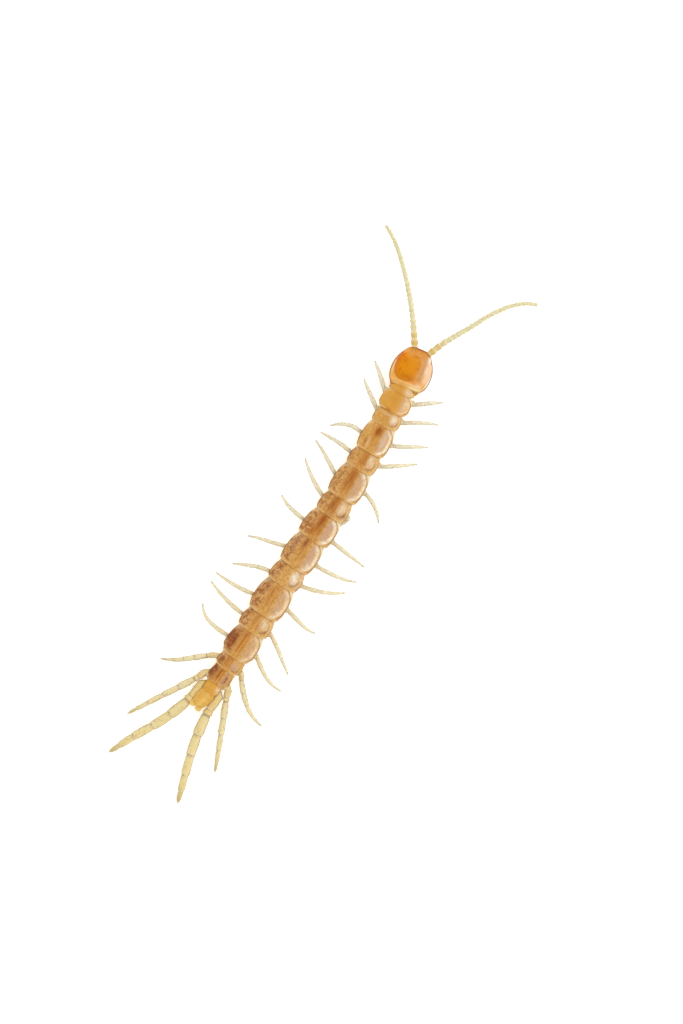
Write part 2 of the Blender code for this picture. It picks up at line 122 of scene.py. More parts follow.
# Ridges and grooves, each with its height, middle and width: up from the rim, along the head, and across it
HEAD_RIM_RIDGES = ((0.007, 0.06, 0.05), (-0.006, 0.19, 0.07))
HEAD_BACK_RIDGES = ((-0.007, 0.055, 0.022), (0.006, 0.02, 0.018))
HEAD_SUTURE = ((-0.006, 0.80, 0.016),)
SUTURE_CURVE = 0.10
HEAD_NOTCH = ((-0.008, 0.0, 0.035),)
# The orange dome of muscle in the head, and the ovals that mark the back plates, one of them the painted
# highlight on the short plates: middle, half sizes, power
HEAD_DOME = (0.245, 0.505, 0.595, 0.345, 2.5)
LONG_PLATE_OVAL = (0.0, 0.52, 0.955, 0.54, 3.0)
SHORT_PLATE_HIGHLIGHT = (-0.44, 0.40, 0.27, 0.30, 2.0)
SHORT_PLATE_RING = (-0.44, 0.42, 0.36, 0.40, 2.0)
OCELLI = ((4.95, 0.790, 0.013), (5.15, 0.762, 0.015), (5.40, 0.785, 0.012), (5.45, 0.748, 0.012))
PALP_KNOTS = ((0.15, 0.60), (0.19, 0.66), (0.185, 0.73), (0.14, 0.79), (0.08, 0.825), (0.05, 0.835))
PALP_ARTICLES = ((0.0, 0.38, 0.027), (0.38, 0.70, 0.024), (0.70, 1.0, 0.018))
PAD_KNOTS = ((0.06, 0.60), (0.065, 0.72), (0.04, 0.79))
LIP_KNOTS = ((-0.17, 0.80), (-0.08, 0.835), (0.08, 0.835), (0.17, 0.80))
PALP_HEIGHT, PAD_HEIGHT, LIP_HEIGHT = 0.292, 0.293, 0.318
PAD_RADIUS, LIP_RADIUS = 0.026, 0.02
SPINDLE = ((0.0, 0.5), (0.12, 0.85), (0.4, 1.0), (0.75, 1.0), (0.93, 0.8), (1.0, 0.45))

ANTENNA_SWINGS = {"left": (58, 52, 47, 42, 26), "right": (72, 60, 64, 52, 20)}
ANTENNA_LENGTHS = {"left": 3.05, "right": 2.96}
ANTENNA_SOCKETS = {"left": 0.155, "right": -0.235}
ANTENNA_REACH = {"left": 0.99, "right": 0.955}
ANTENNA_ARTICLES = 25
ARTICLE_OVERLAP = 1.05
ANTENNA_RADII = (0.085, 0.069, 0.063, 0.056, 0.047)
ANTENNA_HEIGHTS = (0.46, 0.53, 0.55, 0.51, 0.42)
SOCKET_PROFILE = (
    (-0.10, 0.070, 0.0), (-0.045, 0.080, 0.3), (-0.015, 0.078, 0.8), (0.0, 0.070, 0.4), (0.008, 0.058, 0.0),
)

# Four numbers a leg: its way at the hip, the middle and the tip, forward of straight out, and its length
LEG_POSES = {
    "left": (
        (44, 41, 39, 0.75), (35, 36, 40, 0.78), (15, -22, -46, 0.81), (12, 0, -2, 0.88), (33, 30, 24, 0.96),
        (25, 34, 46, 1.02), (8, 13, 36, 0.82), (-16, -13, -23, 0.96), (-6, -24, -28, 0.94), (-9, -1, 6, 1.07),
        (6, 14, 24, 1.12), (0, 12, 60, 1.04), (-39, -40, -22, 1.22), (-59, -58, -60, 2.00),
        (-76, -60, -65, 2.49),
    ),
    "right": (
        (37, 37, 36, 0.70), (35, 29, 22, 0.86), (24, 33, 26, 0.87), (30, 37, 37, 0.92), (-14, -36, -56, 0.80),
        (-112, -118, -126, 0.70), (-8, -7, -8, 0.96), (0, 7, 24, 1.06), (10, 22, 36, 1.08),
        (-14, -16, 8, 0.87), (-31, -39, -37, 1.07), (-40, -29, 2, 1.06), (-54, -42, -8, 1.36),
        (-67, -68, -69, 1.90), (-88, -75, -73, 2.46),
    ),
}
LEG_PLACES = {
    "left": (0.15, 0.22, 0.54, 0.45, 0.48, 0.38, 0.60, 0.62, 0.77, 0.66, 0.51, 0.54, 0.60, 0.78, 0.62),
    "right": (0.15, 0.27, 0.43, 0.32, 0.51, 0.60, 0.67, 0.58, 0.53, 0.53, 0.65, 0.60, 0.64, 0.80, 0.66),
}
LEG_HIP = (0.03, 0.0, 0.0, 0.050)
STOUT_HIPS = {
    ("left", 13): (0.05, 0.18, -32, 0.058), ("right", 13): (0.05, 0.07, -70, 0.058),
    ("left", 14): (0.07, 0.23, -67, 0.072), ("right", 14): (0.07, 0.21, -76, 0.072),
    ("left", 15): (0.085, 0.44, -83, 0.082), ("right", 15): (0.085, 0.455, -95, 0.082),
}
# Share of a leg's length past the hip where each article ends, from trochanter to second tarsus
LEG_JOINTS = (0.05, 0.27, 0.48, 0.69, 0.86, 0.97)
LEG_TIPS = (0.975, 0.984, 0.992, 1.0)
LEG_RADII = (
    (0.0, 0.046), (0.16, 0.052), (0.38, 0.048), (0.59, 0.040), (0.78, 0.029), (0.92, 0.019), (0.975, 0.011),
    (1.0, 0.004),
)
LEG_SWELLS = (
    (0.0, 0.86), (0.05, 0.90), (0.14, 0.97), (0.30, 1.04), (0.55, 1.09), (0.78, 1.12), (0.90, 1.11),
    (0.965, 1.05), (1.0, 0.90),
)
LEG_GIRTHS = {13: 1.25, 14: 1.50, 15: 2.30}
LEG_PALENESS = {13: 0.60, 14: 0.75, 15: 1.0}
LEG_ROOT_HEIGHT = 0.296
LEG_RISE = 0.15
HIND_LEG_RISE = 0.04
HIND_LEG_SWELL = 0.26
TUCKED_LEG = ("right", 6)
TUCKED_FALL = 3.5
TUCKED_RISE = 0.02
TIP_START, TIP_HEIGHT = 0.985, 0.004
LEG_CLEARANCE = 1.05
HIP_SPREAD, HIP_SPREAD_LENGTH = 0.55, 0.14
HIP_SWELLS = (1.0, 1.10, 1.20)
STOUT_TROCHANTER = 0.88
SPUR_LENGTHS = (0.045, 0.060, 0.060, 0.050)
SPUR_TURNS = (-150.0, -90.0, -30.0, 65.0)
SPUR_GIRTH, SPUR_BASE, SPUR_GROWTH = 0.11, 0.75, 0.35
SPUR_FLOOR, SPUR_SETBACK, SPUR_SINK = 0.01, 0.012, 0.8
HAIR_LEAN = 1.1
# Bristles by what bears them: how many on a square millimetre, and their mean length
BRISTLES = {
    "antenna": (400.0, 0.042), "plate": (14.0, 0.035), "leg": (150.0, 0.048), "hind_leg": (80.0, 0.070),
}
ANTENNA_SEED, PLATE_SEED, LEG_SEED = 11, 40, 100
BRISTLE_FLOOR = 0.05
BRISTLE_RISE = 0.62

CLAW_PLATE = (
    (-0.10, 0.30), (0.00, 0.375), (0.12, 0.39), (0.21, 0.27), (0.34, 0.25), (0.47, 0.22), (0.54, 0.16),
)
CLAW_PLATE_HEIGHTS = (0.11, 0.31)
CLAW_PLATE_SEAM = ((0.014, 0.0, 0.03),)
CLAW_PLATE_THINNING, CLAW_PLATE_POWERS = 0.35, (0.6, 0.7)
TOOTH_SIDES, TOOTH_ENDS = 12, ((0.03, 0.205), (-0.038, 0.20))
CLAW_TEETH = (0.045, 0.105)
TOOTH_PROFILE = ((0.0, 0.022), (0.4, 0.021), (0.7, 0.015), (0.9, 0.008), (1.0, 0.003))
CLAW_JOINTS = (0.43, 0.52, 0.60)
CLAW_HEIGHTS = (0.21, 0.18)
CLAW_GROOVE = 0.10
CLAW_ROUTE = (
    (0.335, 0.245, 0.072), (0.368, 0.33, 0.098), (0.385, 0.45, 0.100), (0.362, 0.59, 0.080),
    (0.295, 0.70, 0.058), (0.185, 0.79, 0.038), (0.075, 0.84, 0.018), (0.02, 0.855, 0.005),
)

# Back plates: where their front lies, how they narrow towards a narrower plate, their thickness and crown
PLATE_FRONT, CLAW_SEGMENT_FRONT = 0.002, -0.045
PLATE_TAPER = 0.6
PLATE_THICKNESS, PLATE_EDGE_THICKNESS = 0.013, 0.007
PLATE_FALL, PLATE_ROUNDING = 0.4, 3.7
PLATE_UNDERSIDE = 0.985
PLATE_RIM_RIDGES = ((0.006, 0.012, 0.010), (-0.004, 0.040, 0.018))
PLATE_TAIL_RIDGE = ((0.004, 0.014, 0.014),)
PLATE_FURROW = ((-0.003, 0.42, 0.05),)
PLATE_WIDTHS = ((0.0, 0.82), (0.10, 0.885), (0.22, 0.95), (0.50, 1.0), (0.80, 0.99), (1.0, 0.94))
# The soft skin: its width between and within segments, its pleats, its height and its section's corners
CLAW_SEGMENT_NECK, CLAW_SEGMENT_SKIN_DEPTH = 0.92, 0.96
SKIN_WAIST, SKIN_BULGE = 0.83, 0.07
SKIN_PLEAT, SKIN_PLEAT_TURN = 0.004, 2.2
SKIN_LIFT, SKIN_TOP = 0.014, 0.80
BACK_SQUARENESS, BELLY_SQUARENESS = 0.50, 0.72
BELLY_RISE = 0.18
BELLY_THICKNESS = 0.030
BELLY_MARGIN, BELLY_RIM, BELLY_INNER = 0.02, 0.008, 0.97
BELLY_REACH, BELLY_ROUNDING = 0.885, (2.8, 0.36)
BELLY_SEAM = ((0.004, 0.0, 0.05),)
BELLY_WIDTHS = ((0.0, 0.50), (0.12, 0.66), (0.4, 0.70), (0.8, 0.60), (1.0, 0.42))
END_WIDTHS = (
    (-0.10, 0.72), (0.05, 0.90), (0.25, 1.0), (0.55, 0.98), (0.78, 0.86), (0.90, 0.62), (0.97, 0.30),
)
END_GROOVE = ((0.008, 0.0, 0.10),)
LOBE_SIDES = 16
LOBE_KNOTS = ((0.40, 0.60, 0.0), (0.46, 0.94, -0.01), (0.42, 1.12, -0.02))
LOBE_PROFILE = ((0.0, 0.6), (0.3, 0.8), (0.6, 0.98), (0.8, 1.0), (0.92, 0.75), (0.98, 0.42), (1.0, 0.15))

# How strongly each trunk segment shows its gut, the mottles along its left and the painted highlight on its
# right side
GUT_SHOWS = (0.25, 0.28, 0.40, 0.85, 0.88, 1.0, 1.0, 0.46, 0.12, 0.50, 0.60, 0.88, 1.0, 0.95, 0.0)
MOTTLE_SHOWS = (0.10, 0.08, 0.18, 0.55, 0.72, 0.75, 1.0, 0.95, 0.85, 1.0, 1.0, 1.0, 1.0, 1.0, 0.0)
RIGHT_HIGHLIGHT_SHOWS = (0.60, 0.70, 1.0, 0.50, 0.95, 0.55, 1.0, 0.96, 0.92, 0.75, 0.45, 0.60, 0.10, 0.05, 0.0)
GOLDEN_SHOWS = {0: 1.0, 1: 1.0, 2: 0.32, 3: 0.32, 4: 0.15, 15: 1.0}
SHORT_SEGMENTS = (2, 4, 6, 9, 11, 13)
LONG_SEGMENTS = (1, 3, 5, 7, 8, 10, 12)
SPIRACLE_SEGMENTS = (3, 5, 8, 10, 12, 14)
PORE_LEGS = (12, 13, 14, 15)
PORE_PLACES = (0.62, 0.75, 0.88)
PORE_SIZE = (0.012, 0.012, 0.008)

# Soft-edged spots that show in the photograph, by the layer they bring in. Each row gives a spot's place
# across and along, in shares of the half width and the length, its size both ways, and its strength
HEAD_PATCHES = {
    "red": (
        (0.80, 0.60, 0.13, 0.16, 1.0), (0.66, 0.72, 0.14, 0.10, 0.8), (0.56, 0.36, 0.05, 0.06, 1.0),
        (0.05, 0.985, 0.40, 0.05, 0.8), (-0.40, 0.17, 0.14, 0.04, 0.6),
    ),
    "deep": (
        (0.62, 0.30, 0.05, 0.05, 0.8), (0.08, 0.25, 0.48, 0.10, 1.0), (0.00, 0.78, 0.22, 0.05, 0.8),
        (0.46, 0.61, 0.09, 0.06, 1.0), (0.30, 0.52, 0.05, 0.04, 0.5), (-0.22, 0.60, 0.10, 0.20, 0.7),
    ),
    "line": ((-0.62, -0.01, 0.05, 0.04, 0.9),),
    "band": ((0.90, 0.42, 0.08, 0.28, 0.60),),
    "mauve": ((0.50, 0.62, 0.06, 0.05, 0.6), (0.10, 0.90, 0.35, 0.04, 0.35)),
    # The cream and pale spots on the right side are painted highlights
    "cream": ((-0.62, 0.82, 0.10, 0.10, 0.9), (-0.52, 0.14, 0.16, 0.05, 0.7)),
    "pale": ((-0.66, 0.56, 0.10, 0.16, 0.9), (0.32, 0.77, 0.12, 0.05, 0.3)),
}
# The plates' pale spots are painted highlight, most of them on the right side
PLATE_PATCHES = {
    0: {
        "pale": ((-0.50, 0.40, 0.35, 0.50, 0.55),), "dark": ((0.35, 0.05, 0.45, 0.10, 0.30),),
        "gut": ((0.30, 0.95, 0.70, 0.07, 0.60),),
    },
    1: {
        "gut": ((0.29, 1.00, 0.26, 0.12, 0.75), (0.12, 0.38, 0.38, 0.28, 0.30)),
        "pale": ((-0.62, 0.45, 0.17, 0.38, 0.55),),
    },
    2: {
        "gut": ((0.20, 0.02, 0.25, 0.12, 0.70),),
        "pale": ((-0.50, 0.45, 0.22, 0.30, 0.55), (0.15, 0.28, 0.50, 0.05, 0.35)),
    },
    3: {
        "gut": ((0.10, 0.27, 0.25, 0.21, 1.3),),
        "dark": (
            (0.10, 0.24, 0.19, 0.15, 0.55), (0.55, 0.72, 0.06, 0.14, 0.75), (-0.28, 0.72, 0.05, 0.12, 0.35),
        ),
        "pale": ((0.36, 0.75, 0.07, 0.16, 0.30), (-0.45, 0.50, 0.16, 0.34, 0.35)),
    },
    4: {"dark": ((0.92, 0.55, 0.07, 0.12, 0.50),)},
    5: {"dark": ((0.05, 0.30, 0.18, 0.25, 0.35), (0.29, 0.40, 0.04, 0.28, 0.40))},
    6: {
        "dark": (
            (0.26, 0.55, 0.17, 0.42, 0.50), (-0.80, 0.70, 0.12, 0.12, 1.2), (0.75, 0.25, 0.14, 0.22, 0.35),
        ),
    },
    7: {
        "dark": (
            (0.16, 0.26, 0.17, 0.25, 0.55), (-0.05, 0.05, 0.15, 0.03, 0.45), (0.62, 0.20, 0.14, 0.12, 0.30),
        ),
        "gut": ((0.30, 0.72, 0.26, 0.22, 1.0), (-0.08, 0.40, 0.10, 0.22, 0.85)),
    },
    8: {
        "dark": ((0.20, 0.18, 0.12, 0.20, 0.95), (0.66, 0.42, 0.20, 0.30, 0.25)),
        "mauve": ((0.68, 0.28, 0.18, 0.20, 0.45),), "pale": ((-0.58, 0.73, 0.07, 0.06, 0.80),),
    },
    9: {
        "dark": (
            (0.64, 0.24, 0.18, 0.14, 0.60), (0.80, 0.80, 0.12, 0.16, 0.45), (-0.93, 0.80, 0.13, 0.13, 1.1),
        ),
    },
    10: {
        "dark": (
            (0.64, 0.28, 0.12, 0.22, 0.55), (0.47, 0.72, 0.06, 0.06, 0.45), (0.86, 0.55, 0.12, 0.30, 0.30),
        ),
        "gut": ((0.20, 0.35, 0.07, 0.30, 0.80),), "pale": ((-0.63, 0.75, 0.08, 0.06, 0.75),),
    },
    11: {"dark": ((0.80, 0.25, 0.17, 0.20, 0.60), (-0.74, 0.72, 0.10, 0.10, 0.65))},
    12: {
        "dark": (
            (0.62, 0.55, 0.17, 0.32, 1.7), (0.88, 0.42, 0.17, 0.28, 1.5), (0.22, 0.16, 0.05, 0.10, 0.55),
            (0.48, 0.85, 0.15, 0.08, 0.40),
        ),
        "gut_line": ((0.24, 0.55, 0.035, 0.50, 0.80), (-0.16, 0.55, 0.035, 0.50, 0.80)),
    },
    13: {
        "dark": (
            (0.67, 0.58, 0.22, 0.32, 0.70), (-0.40, 0.58, 0.22, 0.26, 0.22), (0.30, 0.50, 0.05, 0.30, 0.30),
        ),
        "mauve": ((-0.38, 0.55, 0.26, 0.28, 0.90),),
        "gut_line": ((0.20, 0.50, 0.04, 0.50, 0.80), (-0.14, 0.50, 0.04, 0.50, 0.80)),
    },
    14: {
        "dark": (
            (0.78, 0.44, 0.28, 0.42, 1.5), (-0.52, 0.50, 0.15, 0.34, 0.90), (-0.84, 0.50, 0.14, 0.40, 0.35),
            (0.14, 0.45, 0.05, 0.34, 0.50), (0.66, 0.34, 0.16, 0.22, 1.6), (0.34, 0.45, 0.03, 0.34, 0.40),
            (-0.10, 0.45, 0.03, 0.30, 0.30),
        ),
        "mauve": ((-0.48, 0.50, 0.24, 0.40, 0.80),),
    },
    15: {"pale": ((-0.70, 0.50, 0.25, 0.40, 0.60),)},
}

# Unit pieces for Geometry Nodes to repeat: points round each, then rows of height, radius and joint field
UNITS = {
    "article": (16, (
        (0.0, 0.70, 1.0), (0.07, 0.75, 0.8), (0.18, 0.83, 0.3), (0.38, 0.93, 0.0), (0.60, 1.0, 0.0),
        (0.78, 1.04, 0.0), (0.89, 1.01, 0.2), (0.96, 0.90, 0.7), (1.0, 0.74, 1.0),
    )),
    "bristle": (4, ((-0.05, 0.040, 0.0), (0.5, 0.028, 0.0), (1.0, 0.004, 0.0))),
    "spur": (6, ((-0.05, 0.9, 0.0), (0.35, 0.8, 0.0), (0.75, 0.4, 0.0), (1.0, 0.05, 0.0))),
    "lens": (16, (
        (-0.4, 0.95, 0.0), (0.1, 0.98, 0.0), (0.5, 0.84, 0.0), (0.85, 0.5, 0.0), (1.0, 0.12, 0.0),
    )),
    "pore": (12, (
        (-0.4, 0.9, 1.0), (0.2, 1.0, 0.9), (0.6, 0.85, 0.7), (0.55, 0.6, 1.0), (0.1, 0.4, 1.0),
        (0.0, 0.1, 1.0),
    )),
}

# The studio: a white floor in m, its light, and the camera as the photograph was taken, its place in mm
FLOOR_REACH = 0.6
PAPER, PAPER_ROUGHNESS, PAPER_GLOW = "#FDFDFC", 0.9, 0.42
TENT_LIGHT = 0.80
LAMP_LIGHT, LAMP_SOFTNESS, LAMP_TURNS = 0.85, 50.0, (24.0, -18.0, 0.0)
CAMERA_LENS, CAMERA_CLIP = 100.0, (0.002, 5.0)
CAMERA_PLACE, CAMERA_TURN = (-0.6211, -0.6879, 69.2), 211.04


class Breakup(Enum):
    """How a layer is broken up: a noise's grain in mm, its low and high, and the least it leaves."""

    EVEN = (0.0, 0.0, 0.0, 1.0)
    MOTTLE = (0.100, 0.42, 0.57, 0.20)
    FLECK = (0.066, 0.52, 0.62, 0.0)
    CLOUD = (0.070, 0.38, 0.60, 0.45)
    STREAK = (1.0, 0.34, 0.60, 0.70)
    GRAIN = (0.035, 0.35, 0.62, 0.50)


def linear(colour: str) -> tuple[float, float, float, float]:
    """Turn an sRGB hex colour into a linear one.

    Args:
        colour: Six hex digits after a number sign.

    Returns:
        Red, green, blue and an alpha of 1.
    """
    parts = [int(colour[place : place + 2], 16) / 255.0 for place in (1, 3, 5)]
    red, green, blue = (
        part / 12.92 if part <= 0.04045 else ((part + 0.055) / 1.055) ** 2.4 for part in parts
    )
    return (red, green, blue, 1.0)


def fill(tree: Tree, node: bpy.types.Node, values: dict[str | int, object]) -> None:
    """Fill a node's inputs, or link sockets to them.

    Args:
        tree: The node's tree.
        node: The node to fill.
        values: Numbers, colours, vectors or sockets, by an input's name or index.
    """
    for key, value in values.items():
        if isinstance(value, Socket):
            tree.links.new(value, node.inputs[key])
        else:
            node.inputs[key].default_value = value


def add_node(
    tree: Tree, kind: str, settings: dict[str, str | bool], values: dict[str | int, object]
) -> bpy.types.Node:
    """Add one node with its settings and its inputs.

    Args:
        tree: The node tree.
        kind: The node's type name.
        settings: Properties of the node itself.
        values: Its inputs, as fill takes them.

    Returns:
        The new node.
    """
    node = tree.nodes.new(kind)
    for name, value in settings.items():
        setattr(node, name, value)
    fill(tree, node, values)
    return node


@dataclass(frozen=True)
class Layer:
    """One colour that a field of the mesh brings in."""

    field_name: str
    colour: str
    amount: float = 1.0
    breakup: Breakup = Breakup.EVEN
    over_edge: bool = False


class Paint:
    """One material's node tree, with the steps that lay its colours."""

    def __init__(self, tree: Tree) -> None:
        """Start with the coordinates.

        Args:
            tree: The material's tree.
        """
        self.tree = tree
        self.coords = add_node(tree, "ShaderNodeTexCoord", {}, {}).outputs
        self.patterns: dict[Breakup, Socket] = {}

    def noise(self, size: float) -> Socket:
        """Add a noise.

        Args:
            size: About how many millimetres its grains are across.

        Returns:
            The noise's socket.
        """
        values = {
            "Vector": self.coords["Object"], "Scale": 1.0 / (size * MM), "Detail": 4.0, "Roughness": 0.6,
        }
        return add_node(self.tree, "ShaderNodeTexNoise", {}, values).outputs["Fac"]

    def read(self, name: str) -> Socket:
        """Read a field of the mesh."""
        return add_node(self.tree, "ShaderNodeAttribute", {"attribute_name": name}, {}).outputs["Fac"]

    def times(self, value: Socket, by: Socket | float) -> Socket:
        """Multiply an amount, within 0 to 1."""
        settings = {"operation": "MULTIPLY", "use_clamp": True}
        return add_node(self.tree, "ShaderNodeMath", settings, {0: value, 1: by}).outputs[0]

    def mix(self, amount: Socket, under: Socket | tuple[float, ...], colour: str) -> Socket:
        """Lay a colour over another.

        Args:
            amount: How much of it shows.
            under: The colour below.
            colour: The colour on top.

        Returns:
            The mixed colour's socket.
        """
        settings = {"data_type": "RGBA", "clamp_factor": True}
        values = {0: amount, 6: under, 7: linear(colour)}
        return add_node(self.tree, "ShaderNodeMix", settings, values).outputs[2]

    def spread(
        self, value: Socket, low: float, high: float, least: float, most: float, kind: str = "SMOOTHSTEP"
    ) -> Socket:
        """Stretch a part of a value over a new range.

        Args:
            value: The value.
            low: Where the part starts.
            high: Where it ends.
            least: What low becomes.
            most: What high becomes.
            kind: How the value goes between them.

        Returns:
            The new value's socket.
        """
        values = {"Value": value, "From Min": low, "From Max": high, "To Min": least, "To Max": most}
        return add_node(self.tree, "ShaderNodeMapRange", {"interpolation_type": kind}, values).outputs[0]

    def pattern(self, kind: Breakup) -> Socket:
        """Return the pattern that breaks up a layer, made once for each kind.

        Args:
            kind: Which pattern.

        Returns:
            A socket that gives 0 to 1.
        """
        if kind in self.patterns:
            return self.patterns[kind]
        size, low, high, least = kind.value
        if kind is Breakup.STREAK:
            flat = {"X": self.read("side"), "Y": self.read("along")}
            drawn = {0: add_node(self.tree, "ShaderNodeCombineXYZ", {}, flat).outputs[0], 1: STREAK_STRETCH}
            spot = add_node(self.tree, "ShaderNodeVectorMath", {"operation": "MULTIPLY"}, drawn).outputs[0]
            values = {"Vector": spot, "Scale": 1.0, "Detail": 3.0, "Distortion": 0.3}
            grains = add_node(self.tree, "ShaderNodeTexNoise", {}, values).outputs["Fac"]
        else:
            grains = self.noise(size)
        self.patterns[kind] = self.spread(grains, low, high, least, 1.0)
        return self.patterns[kind]

    def lay(self, layer: Layer, under: Socket) -> Socket:
        """Lay one layer over a colour where its field and its pattern bring it in.

        Args:
            layer: The layer.
            under: The colour below.

        Returns:
            The new colour's socket.
        """
        amount = self.times(self.read(layer.field_name), layer.amount)
        if layer.breakup is not Breakup.EVEN:
            amount = self.times(amount, self.pattern(layer.breakup))
        return self.mix(amount, under, layer.colour)


@dataclass(frozen=True)
class Cuticle:
    """A chitin finish: two base colours in soft blotches, layers over them, painted shade on its steep sides,
    and a fine relief.
    """

    name: str
    base: str
    shade: str
    layers: tuple[Layer, ...] = ()
    # The colour of the painted shade on steep sides, how much of it shows and how steep a side must be to
    # take it
    edge: str = ""
    side_shade_amount: float = 0.0
    side_shade_reach: float = 0.62
    roughness: tuple[float, float] = (0.30, 0.44)
    subsurface: float = 0.30
    specular: float = 0.28
    blotch: float = 0.09
    relief: float = 0.0015
    relief_cell: float = 0.028

    def material(self) -> bpy.types.Material:
        """Build the material.

        Returns:
            The node material, ready for a mesh whose fields the layers name.
        """
        material = bpy.data.materials.new(self.name)
        material.use_nodes = True
        tree = material.node_tree
        paint = Paint(tree)
        blotches = paint.noise(self.blotch)
        colour = paint.mix(paint.spread(blotches, 0.35, 0.65, 0.0, 1.0), linear(self.base), self.shade)
        for layer in (layer for layer in self.layers if not layer.over_edge):
            colour = paint.lay(layer, colour)
        # Painted shade: the edge colour darkens surfaces that face sideways, standing in for the dark outline
        # of clear chitin
        if self.edge:
            upward = add_node(tree, "ShaderNodeSeparateXYZ", {}, {0: paint.coords["Normal"]}).outputs["Z"]
            steep = add_node(tree, "ShaderNodeMath", {"operation": "ABSOLUTE"}, {0: upward}).outputs[0]
            sides = paint.spread(steep, 0.0, self.side_shade_reach, self.side_shade_amount, 0.0)
            colour = paint.mix(sides, colour, self.edge)
        for layer in (layer for layer in self.layers if layer.over_edge):
            colour = paint.lay(layer, colour)
        bumps = {"Height": paint.noise(self.relief_cell), "Strength": 0.5, "Distance": self.relief * MM}
        fill(tree, tree.nodes["Principled BSDF"], {
            "Base Color": colour,
            "Roughness": paint.spread(blotches, 0.3, 0.7, *self.roughness, kind="LINEAR"),
            "Normal": add_node(tree, "ShaderNodeBump", {}, bumps).outputs[0],
            "IOR": 1.52,
            "Specular IOR Level": self.specular,
            "Subsurface Weight": self.subsurface,
            "Subsurface Radius": (1.0, 0.55, 0.25),
            "Subsurface Scale": 0.030 * MM,
        })
        return material


